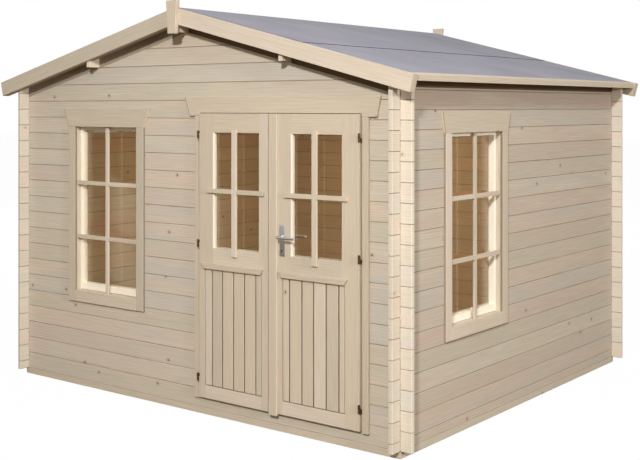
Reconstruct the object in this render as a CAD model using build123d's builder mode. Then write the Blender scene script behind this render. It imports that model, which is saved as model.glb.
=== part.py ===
from build123d import *
import math
import os

os.makedirs("parts", exist_ok=True)

# Sizes in millimetres. X runs right seen from the front, Y towards the back, Z up from the ground.

# Log walls
wall_width = 3270.0
wall_depth = 2920.0
log_thickness = 28.0
log_height = 114.0
corner_extension = 77.0
log_joint_depth = 3.0
full_logs = 18
door_head_log = 16

# Foundation and floor
foundation_height = 42.0
foundation_width = 70.0
joist_width = 45.0
joist_count = 4
floor_thickness = 18.0
floor_gap = 5.0
floor_board_width = 114.0
floor_groove_depth = 2.0

# Roof
ridge_height = foundation_height + 2527.0
roof_slope = 0.2525
felt_thickness = 3.0
roof_board_thickness = 16.0
roof_board_half_width = 1759.0
bargeboard_half_width = 1791.0
bargeboard_depth = 104.0
bargeboard_thickness = 20.0
gable_overhang = 112.0
verge_batten_thickness = 36.0
eaves_board_face = 1777.0
eaves_board_bottom = foundation_height + 2039.0
eaves_board_top = foundation_height + 2084.0
eaves_board_bevel = 11.0
purlin_width = 28.0
side_purlin_offset = 852.0
side_purlin_bottom = foundation_height + 2167.0
ridge_purlin_bottom = foundation_height + 2371.0
finial_top_width = 95.0
finial_bottom_width = 67.0
finial_bottom = foundation_height + 2359.0
finial_top = foundation_height + 2570.0
finial_thickness = 30.0
mitre_gap = 0.5

# Casings of the windows and the door
casing_thickness = 18.0
lining_thickness = 20.0
inner_trim_thickness = 15.0
inner_trim_lap = 25.0

# Windows
window_inner_width = 615.0
window_inner_height = 1138.0
window_casing_width = 70.0
window_casing_drop = 79.0
window_header_height = 127.0
window_header_lap = 4.0
window_header_flare = 48.0
window_lining_depth = 80.0
window_sash_setback = 31.0
window_sash_thickness = 49.0
window_sash_stile = 23.0
window_sash_bottom_rail = 45.0
window_sash_top_rail = 24.0
window_glass_setback = 65.0
window_sash_gap = 2.0
window_bar_width = 28.0
window_bar_thickness = 15.0
window_bar_heights = (374.0, 748.0)
window_rebate = 8.0
glass_thickness = 4.0
leaf_glass_setback = 25.0
front_window_centre = -765.0
front_window_sill = foundation_height + 622.0
side_window_centre = -626.0
side_window_sill = foundation_height + 605.0

# Doorway
doorway_left = 131.0
doorway_right = 1387.0
doorway_head = foundation_height + 1863.0
door_casing_width = 46.0
door_casing_bottom = foundation_height + 60.0
door_casing_top = foundation_height + 1841.0
door_lining_thickness = 28.0
door_stop_setback = 11.0
door_stop_width = 18.0
door_lining_depth = 46.0
threshold_top = foundation_height + 66.0
threshold_depth = 70.0
door_header_top = foundation_height + 1960.0
door_header_bottom_edge = (38.0, 1489.0)
door_header_top_edge = (-2.0, 1516.0)

# Door leaves
leaf_thickness = 36.0
leaf_proud = 31.0
leaf_bottom = foundation_height + 72.0
leaf_top = foundation_height + 1857.0
left_leaf_edges = (137.0, 715.0)
right_leaf_edges = (724.0, 1381.0)
leaf_glass_bottom = foundation_height + 1017.0
leaf_glass_top = foundation_height + 1738.0
left_glass_edges = (255.0, 635.0)
right_glass_edges = (883.0, 1258.0)
panel_bottom = foundation_height + 152.0
panel_top = foundation_height + 900.0
left_panel_joints = (190.0, 248.0, 335.0, 427.0, 517.0, 608.0)
left_panel_end = 658.0
right_panel_joints = (819.0, 872.0, 965.0, 1052.0, 1144.0, 1235.0)
right_panel_end = 1280.0
panel_groove_width = 6.0
panel_groove_depth = 4.0
trim_thickness = 15.0
cross_bar_width = 38.0
cross_bar_height = 28.0
cross_bar_level = foundation_height + 1375.0
cross_bar_bottom = foundation_height + 974.0
cross_bar_top = foundation_height + 1757.0
cross_bar_lap = 43.0
left_cross_bar_centre = 442.0
right_cross_bar_centre = 1068.0
weather_bar_top = foundation_height + 918.0
weather_bar_bottom = foundation_height + 879.0
weather_bar_thickness = 18.0
weather_bar_lip = 8.0
left_weather_bar_top_edge = (160.0, 673.0)
left_weather_bar_bottom_edge = (198.0, 649.0)
right_weather_bar_top_edge = (801.0, 1305.0)
right_weather_bar_bottom_edge = (826.0, 1278.0)
closing_strip_edges = (724.0, 785.0)
closing_strip_bottom = foundation_height + 60.0

# Hinges and handle
hinge_setback = 3.0
hinge_radius = 7.0
hinge_standoff = 8.0
hinge_height = 48.0
hinge_gap = 1.0
hinge_arm_width = 8.0
hinge_levels = (foundation_height + 200.0, foundation_height + 1040.0, foundation_height + 1725.0)
handle_plate_edges = (798.0, 839.0)
handle_plate_bottom = foundation_height + 1011.0
handle_plate_top = foundation_height + 1198.0
handle_plate_thickness = 3.0
handle_plate_corner = 4.0
lever_pivot = 815.0
lever_level = foundation_height + 1126.0
lever_reach = 127.0
lever_radius = 8.0
lever_neck_radius = 9.0
lever_standoff = 48.0
lever_gap = 0.5
spindle_width = 8.0
spindle_hole_radius = 7.0
keyhole_radius = 4.0
keyhole_slot_width = 4.0
keyhole_slot_height = 14.0
keyhole_level = foundation_height + 1040.0

# Sizes that follow from the others
half_width = wall_width / 2
half_depth = wall_depth / 2
inner_half_width = half_width - log_thickness
inner_half_depth = half_depth - log_thickness
log_end_x = half_width + corner_extension
log_end_y = half_depth + corner_extension
wall_top = foundation_height + full_logs * log_height
verge_face = half_depth + gable_overhang
verge_back = verge_face - bargeboard_thickness
batten_back = verge_back - verge_batten_thickness
roof_drop = felt_thickness + roof_board_thickness
door_head_level = foundation_height + door_head_log * log_height

front_face = Plane(origin=(0, -half_depth, 0), x_dir=(1, 0, 0), z_dir=(0, -1, 0))
right_face = Plane(origin=(half_width, 0, 0), x_dir=(0, 1, 0), z_dir=(1, 0, 0))


def log_joint(number):
    """Height of the joint under the given log of a front or rear wall."""
    return foundation_height + number * log_height


def roof_level(x, drop):
    """Height on the roof slope at x, this far straight below the felt's surface."""
    return ridge_height - roof_slope * abs(x) - drop


def seen_from_front(y):
    """Upright plane at depth y, facing the front, with X to the right."""
    return Plane(origin=(0, y, 0), x_dir=(1, 0, 0), z_dir=(0, -1, 0))


def seen_from_right(x):
    """Upright plane at x, facing the right-hand side, with Y to the right."""
    return Plane(origin=(x, 0, 0), x_dir=(0, 1, 0), z_dir=(1, 0, 0))


def rectangle(left, right, bottom, top):
    """Corner points of an upright rectangle."""
    return [(left, bottom), (right, bottom), (right, top), (left, top)]


def push_all(plane, outlines, amount, mode=Mode.ADD):
    """Extrude closed outlines on a plane together, along the plane's normal."""
    with BuildSketch(plane) as shape:
        for points in outlines:
            Polygon(*points, align=None)
    extrude(shape.sketch, amount=amount, mode=mode)


def push(plane, points, amount, mode=Mode.ADD):
    """Extrude one closed outline on a plane along the plane's normal."""
    push_all(plane, [points], amount, mode)


def log_section(outer, inner, bottom, outer_top, inner_top, joints):
    """Section through a stack of logs, with a small V on both faces at each joint."""
    into = math.copysign(log_joint_depth, inner - outer)
    points = [(outer, bottom)]
    for joint in joints:
        points.append((outer, joint - log_joint_depth))
        points.append((outer + into, joint))
        points.append((outer, joint + log_joint_depth))
    points.append((outer, outer_top))
    points.append((inner, inner_top))
    for joint in reversed(joints):
        points.append((inner, joint + log_joint_depth))
        points.append((inner - into, joint))
        points.append((inner, joint - log_joint_depth))
    points.append((inner, bottom))
    return points


def crossing_notches(first, last, sides):
    """Cut the front or rear logs a quarter deep, above and below, where the side logs cross."""
    quarter = log_height / 4
    cuts = []
    for side in sides:
        near = min(side * inner_half_width, side * half_width)
        for number in range(first, last + 1):
            level = log_joint(number)
            cuts.append(rectangle(near, near + log_thickness, level - quarter, level + quarter))
    push_all(seen_from_front(log_end_y), cuts, 2 * log_end_y, Mode.SUBTRACT)


def save(name, builder):
    """Name a finished piece and write it out."""
    builder.part.label = name
    export_step(builder.part, f"parts/{name}.step")


# Foundation beams under the walls, flush with the outer faces
with BuildPart() as front_and_rear_beams:
    for back in (-half_depth + foundation_width, half_depth):
        push(
            seen_from_front(back), rectangle(-half_width, half_width, 0, foundation_height), foundation_width
        )
save("front_and_rear_beams", front_and_rear_beams)

with BuildPart() as side_beams:
    beam_end = half_depth - foundation_width
    for left in (-half_width, half_width - foundation_width):
        push(seen_from_right(left), rectangle(-beam_end, beam_end, 0, foundation_height), foundation_width)
save("side_beams", side_beams)

with BuildPart() as floor_joists:
    joist_spacing = wall_width / (joist_count + 1)
    for number in range(joist_count):
        left = -half_width + (number + 1) * joist_spacing - joist_width / 2
        push(seen_from_right(left), rectangle(-beam_end, beam_end, 0, foundation_height), joist_width)
save("floor_joists", floor_joists)

# Floor boards laid across the joists, with a small V between the boards
with BuildPart() as floor_boards:
    floor_front = -inner_half_depth + floor_gap
    floor_back = inner_half_depth - floor_gap
    floor_end = inner_half_width - floor_gap
    floor_top = foundation_height + floor_thickness
    floor_points = [(floor_front, foundation_height), (floor_front, floor_top)]
    board_count = int((floor_back - floor_front) / floor_board_width)
    for number in range(1, board_count + 1):
        joint = floor_front + number * floor_board_width
        floor_points.append((joint - floor_groove_depth, floor_top))
        floor_points.append((joint, floor_top - floor_groove_depth))
        floor_points.append((joint + floor_groove_depth, floor_top))
    floor_points.append((floor_back, floor_top))
    floor_points.append((floor_back, foundation_height))
    push(seen_from_right(-floor_end), floor_points, 2 * floor_end)
save("floor_boards", floor_boards)

# Front wall: the sill log runs through and is cut down to half its height in the doorway
doorway_cut_left = doorway_left - door_lining_thickness
doorway_cut_right = doorway_right + door_lining_thickness
doorway_cut_bottom = foundation_height + log_height / 2
doorway_cut_top = doorway_head + door_lining_thickness

with BuildPart() as front_sill_log:
    sill_points = log_section(
        -half_depth, -inner_half_depth, foundation_height, log_joint(1), log_joint(1), []
    )
    push(seen_from_right(-log_end_x), sill_points, 2 * log_end_x)
    crossing_notches(0, 1, (-1, 1))
    doorway_notch = rectangle(doorway_cut_left, doorway_cut_right, doorway_cut_bottom, log_joint(2))
    push(seen_from_front(0), doorway_notch, half_depth, Mode.SUBTRACT)
save("front_sill_log", front_sill_log)

front_joints = [log_joint(number) for number in range(2, door_head_log)]
front_points = log_section(
    -half_depth, -inner_half_depth, log_joint(1), door_head_level, door_head_level, front_joints
)

with BuildPart() as front_wall_left:
    push(seen_from_right(-log_end_x), front_points, log_end_x + doorway_cut_left)
    crossing_notches(1, door_head_log, (-1,))
    window_left = front_window_centre - window_inner_width / 2 - lining_thickness
    window_right = front_window_centre + window_inner_width / 2 + lining_thickness
    window_bottom = front_window_sill - lining_thickness
    window_top = front_window_sill + window_inner_height + lining_thickness
    window_hole = rectangle(window_left, window_right, window_bottom, window_top)
    push(seen_from_front(0), window_hole, half_depth, Mode.SUBTRACT)
save("front_wall_left", front_wall_left)

with BuildPart() as front_wall_right:
    push(seen_from_right(doorway_cut_right), front_points, log_end_x - doorway_cut_right)
    crossing_notches(1, door_head_log, (1,))
save("front_wall_right", front_wall_right)

# Gables: logs cut to the slope of the roof and notched for the purlins
gable_joints = [log_joint(number) for number in range(full_logs + 1, full_logs + 4)]


def purlin_outlines():
    """Outlines of the three purlins seen from the front, their tops bevelled to the roof."""
    outlines = []
    for side in (-1, 1):
        near = side * side_purlin_offset - purlin_width / 2
        far = near + purlin_width
        outlines.append([
            (near, side_purlin_bottom),
            (far, side_purlin_bottom),
            (far, roof_level(far, roof_drop)),
            (near, roof_level(near, roof_drop)),
        ])
    half = purlin_width / 2
    outlines.append([
        (-half, ridge_purlin_bottom),
        (half, ridge_purlin_bottom),
        (half, roof_level(half, roof_drop)),
        (0, roof_level(0, roof_drop)),
        (-half, roof_level(half, roof_drop)),
    ])
    return outlines


def cut_gable_to_roof():
    """Remove what stands above the underside of the roof boards or in the purlins' way."""
    above = ridge_height + log_height
    far = log_end_x + log_height
    for side in (-1, 1):
        waste = [
            (0, roof_level(0, roof_drop)),
            (side * far, roof_level(far, roof_drop)),
            (side * far, above),
            (0, above),
        ]
        push(seen_from_front(log_end_y), waste, 2 * log_end_y, Mode.SUBTRACT)
    push_all(seen_from_front(log_end_y), purlin_outlines(), 2 * log_end_y, Mode.SUBTRACT)


with BuildPart() as front_gable:
    upper_joints = [log_joint(number) for number in range(door_head_log + 1, full_logs + 1)]
    gable_points = log_section(
        -half_depth,
        -inner_half_depth,
        door_head_level,
        ridge_height,
        ridge_height,
        upper_joints + gable_joints,
    )
    push(seen_from_right(-log_end_x), gable_points, 2 * log_end_x)
    crossing_notches(door_head_log, full_logs, (-1, 1))
    cut_gable_to_roof()
    doorway_notch = rectangle(
        doorway_cut_left, doorway_cut_right, log_joint(door_head_log - 1), doorway_cut_top
    )
    push(seen_from_front(0), doorway_notch, half_depth, Mode.SUBTRACT)
save("front_gable", front_gable)

with BuildPart() as rear_wall:
    rear_joints = [log_joint(number) for number in range(1, full_logs)]
    rear_points = log_section(
        half_depth, inner_half_depth, foundation_height, wall_top, wall_top, rear_joints
    )
    push(seen_from_right(-log_end_x), rear_points, 2 * log_end_x)
    crossing_notches(0, full_logs, (-1, 1))
save("rear_wall", rear_wall)

with BuildPart() as rear_gable:
    rear_gable_points = log_section(
        half_depth, inner_half_depth, wall_top, ridge_height, ridge_height, gable_joints
    )
    push(seen_from_right(-log_end_x), rear_gable_points, 2 * log_end_x)
    crossing_notches(full_logs, full_logs, (-1, 1))
    cut_gable_to_roof()
save("rear_gable", rear_gable)


# Side walls: the courses lie half a log lower, so each corner interlocks
def side_wall(side):
    """Section of a side wall with its top bevelled to the slope of the roof."""
    joints = [log_joint(number + 0.5) for number in range(full_logs)]
    outer_top = roof_level(half_width, roof_drop)
    inner_top = roof_level(inner_half_width, roof_drop)
    return log_section(
        side * half_width, side * inner_half_width, foundation_height, outer_top, inner_top, joints
    )


def side_crossing_notches():
    """Cut the side logs where the front and rear logs pass through them."""
    quarter = log_height / 4
    cuts = []
    for near in (-half_depth, inner_half_depth):
        for number in range(full_logs + 1):
            bottom = log_joint(number) + quarter
            top = log_joint(number) + 3 * quarter
            cuts.append(rectangle(near, near + log_thickness, bottom, top))
    push_all(seen_from_right(-log_end_x), cuts, 2 * log_end_x, Mode.SUBTRACT)


with BuildPart() as left_wall:
    push(seen_from_front(log_end_y), side_wall(-1), 2 * log_end_y)
    side_crossing_notches()
save("left_wall", left_wall)

with BuildPart() as right_wall:
    push(seen_from_front(log_end_y), side_wall(1), 2 * log_end_y)
    side_crossing_notches()
    window_left = side_window_centre - window_inner_width / 2 - lining_thickness
    window_right = side_window_centre + window_inner_width / 2 + lining_thickness
    window_bottom = side_window_sill - lining_thickness
    window_top = side_window_sill + window_inner_height + lining_thickness
    window_hole = rectangle(window_left, window_right, window_bottom, window_top)
    push(seen_from_right(0), window_hole, log_end_x, Mode.SUBTRACT)
save("right_wall", right_wall)

# Roof timbers
with BuildPart() as purlins:
    push_all(seen_from_front(verge_back), purlin_outlines(), 2 * verge_back)
save("purlins", purlins)

for name, side in (("left_roof_boards", -1), ("right_roof_boards", 1)):
    with BuildPart() as roof_boards:
        edge = side * roof_board_half_width
        slab = [
            (0, roof_level(0, felt_thickness)),
            (edge, roof_level(edge, felt_thickness)),
            (edge, roof_level(edge, roof_drop)),
            (0, roof_level(0, roof_drop)),
        ]
        push(seen_from_front(verge_back), slab, 2 * verge_back)
    save(name, roof_boards)

with BuildPart() as roof_felt:
    edge = roof_board_half_width
    sheet = [
        (-edge, roof_level(edge, 0)),
        (0, roof_level(0, 0)),
        (edge, roof_level(edge, 0)),
        (edge, roof_level(edge, felt_thickness)),
        (0, roof_level(0, felt_thickness)),
        (-edge, roof_level(edge, felt_thickness)),
    ]
    push(seen_from_front(verge_back), sheet, 2 * verge_back)
save("roof_felt", roof_felt)

with BuildPart() as eaves_boards:
    for side in (-1, 1):
        profile = [
            (side * roof_board_half_width, eaves_board_bottom),
            (side * eaves_board_face, eaves_board_bottom),
            (side * eaves_board_face, eaves_board_top - eaves_board_bevel),
            (side * (eaves_board_face - eaves_board_bevel), eaves_board_top),
            (side * roof_board_half_width, eaves_board_top),
        ]
        push(seen_from_front(batten_back), profile, 2 * batten_back)
save("eaves_boards", eaves_boards)


def verge_profile(side, inner, top_drop, bottom_drop):
    """Board that follows the slope, its lower end cut square to it."""
    run = bargeboard_half_width
    back = (bottom_drop - top_drop) * roof_slope / (1 + roof_slope ** 2)
    low_end = run - back
    return [
        (side * inner, roof_level(inner, top_drop)),
        (side * run, roof_level(run, top_drop)),
        (side * low_end, roof_level(low_end, bottom_drop)),
        (side * inner, roof_level(inner, bottom_drop)),
    ]


for name, front in (("front_bargeboards", -verge_back), ("rear_bargeboards", verge_face)):
    with BuildPart() as bargeboards:
        for side in (-1, 1):
            push(
                seen_from_front(front),
                verge_profile(side, mitre_gap, 0, bargeboard_depth),
                bargeboard_thickness,
            )
    save(name, bargeboards)

for name, front in (("front_verge_battens", -batten_back), ("rear_verge_battens", verge_back)):
    with BuildPart() as verge_battens:
        for side in (-1, 1):
            push(
                seen_from_front(front),
                verge_profile(side, 0, 0, bargeboard_depth),
                verge_batten_thickness,
            )
            edge = side * roof_board_half_width
            boards = [
                (0, ridge_height + log_height),
                (edge, ridge_height + log_height),
                (edge, roof_level(edge, roof_drop)),
                (0, roof_level(0, roof_drop)),
            ]
            push(seen_from_front(front), boards, verge_batten_thickness, Mode.SUBTRACT)
        log_ends = [
            rectangle(near, near + log_thickness, foundation_height, ridge_height)
            for near in (-half_width, inner_half_width)
        ]
        push_all(seen_from_front(front), purlin_outlines() + log_ends, verge_batten_thickness, Mode.SUBTRACT)
    save(name, verge_battens)

finial_points = [
    (-finial_bottom_width / 2, finial_bottom),
    (finial_bottom_width / 2, finial_bottom),
    (finial_top_width / 2, finial_top),
    (-finial_top_width / 2, finial_top),
]
for name, front in (("front_finial", -verge_face), ("rear_finial", verge_face + finial_thickness)):
    with BuildPart() as finial:
        push(seen_from_front(front), finial_points, finial_thickness)
    save(name, finial)


# Windows: a deep lined frame with boards around it, a sash set far back and bars in front of it
def window(name, face, centre, sill):
    left = centre - window_inner_width / 2
    right = centre + window_inner_width / 2
    head = sill + window_inner_height
    inside = rectangle(left, right, sill, head)
    log_face = -log_thickness

    with BuildPart() as frame:
        casing = rectangle(
            left - window_casing_width, right + window_casing_width, sill - window_casing_drop, head
        )
        push(face, casing, casing_thickness)
        lining = rectangle(
            left - lining_thickness,
            right + lining_thickness,
            sill - lining_thickness,
            head + lining_thickness,
        )
        push(face.offset(-window_lining_depth), lining, window_lining_depth)
        trim = rectangle(
            left - lining_thickness - inner_trim_lap,
            right + lining_thickness + inner_trim_lap,
            sill - lining_thickness - inner_trim_lap,
            head + lining_thickness + inner_trim_lap,
        )
        push(face.offset(log_face - inner_trim_thickness), trim, inner_trim_thickness)
        push(
            face.offset(-window_lining_depth), inside, window_lining_depth + casing_thickness, Mode.SUBTRACT
        )
    save(f"{name}_window_frame", frame)

    with BuildPart() as header:
        bottom_left = left - window_casing_width - window_header_lap
        bottom_right = right + window_casing_width + window_header_lap
        points = [
            (bottom_left, head),
            (bottom_right, head),
            (bottom_right + window_header_flare, head + window_header_height),
            (bottom_left - window_header_flare, head + window_header_height),
        ]
        push(face, points, casing_thickness)
    save(f"{name}_window_header", header)

    glass_left = left + window_sash_stile - window_rebate
    glass_right = right - window_sash_stile + window_rebate
    glass_bottom = sill + window_sash_bottom_rail - window_rebate
    glass_top = head - window_sash_top_rail + window_rebate
    pane = rectangle(glass_left, glass_right, glass_bottom, glass_top)
    glass_back = face.offset(-window_glass_setback - glass_thickness)
    with BuildPart() as sash:
        sash_back = face.offset(-window_sash_setback - window_sash_thickness)
        push(sash_back, rectangle(left, right, sill + window_sash_gap, head), window_sash_thickness)
        daylight = rectangle(
            glass_left + window_rebate,
            glass_right - window_rebate,
            glass_bottom + window_rebate,
            glass_top - window_rebate,
        )
        push(sash_back, daylight, window_sash_thickness, Mode.SUBTRACT)
        push(glass_back, pane, glass_thickness, Mode.SUBTRACT)
    save(f"{name}_window_sash", sash)

    with BuildPart() as glass:
        push(glass_back, pane, glass_thickness)
    save(f"{name}_window_glass", glass)

    with BuildPart() as bars:
        half = window_bar_width / 2
        bar_back = face.offset(-window_bar_thickness)
        push(bar_back, rectangle(centre - half, centre + half, sill, head), window_bar_thickness)
        for height in window_bar_heights:
            cross = rectangle(left, right, sill + height - half, sill + height + half)
            push(bar_back, cross, window_bar_thickness)
    save(f"{name}_window_bars", bars)


window("front", front_face, front_window_centre, front_window_sill)
window("side", right_face, side_window_centre, side_window_sill)

# Door frame: each jamb grips the log ends and carries the outer casing and the stop
lining_back = -half_depth + door_lining_depth
stop_front = -half_depth + door_stop_setback
casing_front = -half_depth - casing_thickness

for name, side, edge in (("left_door_jamb", 1, doorway_left), ("right_door_jamb", -1, doorway_right)):
    with BuildPart() as jamb:
        outer = edge - side * door_casing_width
        cut_edge = edge - side * door_lining_thickness
        stop_edge = edge + side * door_stop_width
        with BuildSketch(Plane.XY.offset(threshold_top)):
            Polygon(
                (edge, -half_depth),
                (edge, stop_front),
                (stop_edge, stop_front),
                (stop_edge, lining_back),
                (outer, lining_back),
                (outer, -inner_half_depth),
                (cut_edge, -inner_half_depth),
                (cut_edge, -half_depth),
                align=None,
            )
        extrude(amount=doorway_head - threshold_top)
        with BuildSketch(Plane.XY.offset(door_casing_bottom)):
            Polygon(
                (outer, casing_front),
                (edge, casing_front),
                (edge, -half_depth),
                (outer, -half_depth),
                align=None,
            )
        extrude(amount=door_casing_top - door_casing_bottom)
    save(name, jamb)

with BuildPart() as door_head:
    head_top = doorway_cut_top
    head_section = [
        (-half_depth, doorway_head),
        (stop_front, doorway_head),
        (stop_front, doorway_head - door_stop_width),
        (lining_back, doorway_head - door_stop_width),
        (lining_back, head_top),
        (-half_depth, head_top),
    ]
    push(seen_from_right(doorway_cut_left), head_section, doorway_cut_right - doorway_cut_left)
    for near, far in (
        (doorway_cut_left, doorway_left + door_stop_width),
        (doorway_right - door_stop_width, doorway_cut_right),
    ):
        corner = rectangle(near, far, doorway_head - door_stop_width, doorway_head)
        push(seen_from_front(lining_back), corner, door_lining_depth, Mode.SUBTRACT)
save("door_head", door_head)

with BuildPart() as door_header_board:
    header_points = [
        (door_header_bottom_edge[0], door_casing_top),
        (doorway_left, door_casing_top),
        (doorway_left, doorway_head),
        (doorway_right, doorway_head),
        (doorway_right, door_casing_top),
        (door_header_bottom_edge[1], door_casing_top),
        (door_header_top_edge[1], door_header_top),
        (door_header_top_edge[0], door_header_top),
    ]
    push(front_face, header_points, casing_thickness)
save("door_header_board", door_header_board)

with BuildPart() as door_threshold:
    threshold = rectangle(doorway_cut_left, doorway_cut_right, doorway_cut_bottom, threshold_top)
    push(seen_from_front(-inner_half_depth), threshold, log_thickness)
    inner_lip = rectangle(
        doorway_left - door_casing_width,
        doorway_right + door_casing_width,
        doorway_cut_bottom,
        threshold_top,
    )
    push(seen_from_front(-half_depth + threshold_depth), inner_lip, threshold_depth - log_thickness)
save("door_threshold", door_threshold)

# Door leaves: flush frames around glass above and grooved boards below
leaf_face = front_face.offset(leaf_proud)
leaf_back = front_face.offset(leaf_proud - leaf_thickness)
leaf_glass_back = front_face.offset(leaf_proud - leaf_glass_setback - glass_thickness)


def panel_grooves(joints, last_edge):
    """Grooves between the panel boards, and along the rail below them."""
    half = panel_groove_width / 2
    grooves = [rectangle(joint - half, joint + half, panel_bottom, panel_top) for joint in joints]
    grooves.append(rectangle(joints[0] - half, last_edge, panel_bottom - half, panel_bottom + half))
    push_all(leaf_face.offset(-panel_groove_depth), grooves, panel_groove_depth, Mode.SUBTRACT)


def leaf_pane(glass_edges):
    """Pane of a leaf, which sits in a groove behind the edge of its opening."""
    return rectangle(
        glass_edges[0] - window_rebate,
        glass_edges[1] + window_rebate,
        leaf_glass_bottom - window_rebate,
        leaf_glass_top + window_rebate,
    )


with BuildPart() as left_door_leaf:
    push(leaf_back, rectangle(*left_leaf_edges, leaf_bottom, leaf_top), leaf_thickness)
    push(
        leaf_back,
        rectangle(*left_glass_edges, leaf_glass_bottom, leaf_glass_top),
        leaf_thickness,
        Mode.SUBTRACT,
    )
    push(leaf_glass_back, leaf_pane(left_glass_edges), glass_thickness, Mode.SUBTRACT)
    panel_grooves(left_panel_joints, left_panel_end)
save("left_door_leaf", left_door_leaf)

with BuildPart() as right_door_leaf:
    push(leaf_back, rectangle(*right_leaf_edges, leaf_bottom, leaf_top), leaf_thickness)
    push(
        leaf_back,
        rectangle(*right_glass_edges, leaf_glass_bottom, leaf_glass_top),
        leaf_thickness,
        Mode.SUBTRACT,
    )
    push(leaf_glass_back, leaf_pane(right_glass_edges), glass_thickness, Mode.SUBTRACT)
    panel_grooves(right_panel_joints, right_panel_end)
    with BuildSketch(leaf_back):
        with Locations((lever_pivot, lever_level)):
            Circle(spindle_hole_radius)
        with Locations((lever_pivot, keyhole_level)):
            Circle(keyhole_radius)
    extrude(amount=leaf_thickness, mode=Mode.SUBTRACT)
save("right_door_leaf", right_door_leaf)

for name, glass_edges in (("left_door_glass", left_glass_edges), ("right_door_glass", right_glass_edges)):
    with BuildPart() as door_glass:
        push(leaf_glass_back, leaf_pane(glass_edges), glass_thickness)
    save(name, door_glass)


def door_trim(name, glass_edges, bar_centre, top_edge, bottom_edge):
    """Cross bars over the glass and the flared weather bar over the boards."""
    with BuildPart() as trim:
        half = cross_bar_width / 2
        half_height = cross_bar_height / 2
        upright = rectangle(bar_centre - half, bar_centre + half, cross_bar_bottom, cross_bar_top)
        push(leaf_face, upright, trim_thickness)
        cross = rectangle(
            glass_edges[0] - cross_bar_lap,
            glass_edges[1] + cross_bar_lap,
            cross_bar_level - half_height,
            cross_bar_level + half_height,
        )
        push(leaf_face, cross, trim_thickness)
        weather_bar = [
            (bottom_edge[0], weather_bar_bottom),
            (bottom_edge[1], weather_bar_bottom),
            (top_edge[1], weather_bar_top),
            (top_edge[0], weather_bar_top),
        ]
        push(leaf_face, weather_bar, weather_bar_thickness)
        weather_face = -half_depth - leaf_proud - weather_bar_thickness
        sloped_foot = [
            (weather_face, weather_bar_bottom),
            (weather_face + weather_bar_lip, weather_bar_bottom),
            (weather_face, weather_bar_bottom + weather_bar_lip),
        ]
        push(seen_from_right(top_edge[0]), sloped_foot, top_edge[1] - top_edge[0], Mode.SUBTRACT)
    save(name, trim)


door_trim(
    "left_door_trim", left_glass_edges, left_cross_bar_centre,
    left_weather_bar_top_edge, left_weather_bar_bottom_edge,
)
door_trim(
    "right_door_trim", right_glass_edges, right_cross_bar_centre,
    right_weather_bar_top_edge, right_weather_bar_bottom_edge,
)

with BuildPart() as closing_strip:
    push(leaf_face, rectangle(*closing_strip_edges, closing_strip_bottom, leaf_top), trim_thickness)
save("closing_strip", closing_strip)

# Hinges: a fixed lower knuckle on the casing and a turning upper knuckle on the leaf
hinge_y = -half_depth - leaf_proud - hinge_standoff
knuckle_height = (hinge_height - hinge_gap) / 2


def knuckles(name, hinge_x, bottom_shift, arm_points):
    """Three barrels on one line, each with an arm to what it is fixed to."""
    with BuildPart() as hinges:
        for level in hinge_levels:
            with BuildSketch(Plane.XY.offset(level + bottom_shift)):
                with Locations((hinge_x, hinge_y)):
                    Circle(hinge_radius)
                Polygon(*arm_points, align=None)
            extrude(amount=knuckle_height)
    save(name, hinges)


def arm(near_x, far_x, back_y):
    """Outline of a hinge arm from the barrel's centre line back to a face."""
    return [(near_x, hinge_y), (far_x, hinge_y), (far_x, back_y), (near_x, back_y)]


leaf_face_y = -half_depth - leaf_proud
left_hinge_x = left_leaf_edges[0] - hinge_setback
right_hinge_x = right_leaf_edges[1] + hinge_setback
upper_knuckle = hinge_gap / 2
lower_knuckle = -hinge_height / 2
knuckles(
    "left_leaf_hinges", left_hinge_x, upper_knuckle,
    arm(left_hinge_x, left_hinge_x + hinge_arm_width, leaf_face_y),
)
knuckles(
    "right_leaf_hinges", right_hinge_x, upper_knuckle,
    arm(right_hinge_x - hinge_arm_width, right_hinge_x, leaf_face_y),
)
knuckles(
    "left_frame_hinges", left_hinge_x, lower_knuckle,
    arm(left_hinge_x - hinge_arm_width, left_hinge_x, casing_front),
)
knuckles(
    "right_frame_hinges", right_hinge_x, lower_knuckle,
    arm(right_hinge_x, right_hinge_x + hinge_arm_width, casing_front),
)

# Handle: a plate on each face of the right leaf, and one lever body through both
plate_centre_x = sum(handle_plate_edges) / 2
plate_centre_z = (handle_plate_bottom + handle_plate_top) / 2
plate_width = handle_plate_edges[1] - handle_plate_edges[0]
plate_height = handle_plate_top - handle_plate_bottom

with BuildPart() as handle_plates:
    for plate_plane in (leaf_face, leaf_back.offset(-handle_plate_thickness)):
        with BuildSketch(plate_plane) as plate_outline:
            with Locations((plate_centre_x, plate_centre_z)):
                Rectangle(plate_width, plate_height)
            chamfer(plate_outline.vertices(), handle_plate_corner)
            with Locations((lever_pivot, lever_level)):
                Circle(spindle_hole_radius, mode=Mode.SUBTRACT)
            with Locations((lever_pivot, keyhole_level)):
                Circle(keyhole_radius, mode=Mode.SUBTRACT)
            with Locations((lever_pivot, keyhole_level - keyhole_slot_height / 2)):
                Rectangle(keyhole_slot_width, keyhole_slot_height, mode=Mode.SUBTRACT)
        extrude(amount=handle_plate_thickness)
save("handle_plates", handle_plates)

plate_outer = leaf_proud + handle_plate_thickness
plate_inner = leaf_thickness - leaf_proud + handle_plate_thickness

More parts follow.
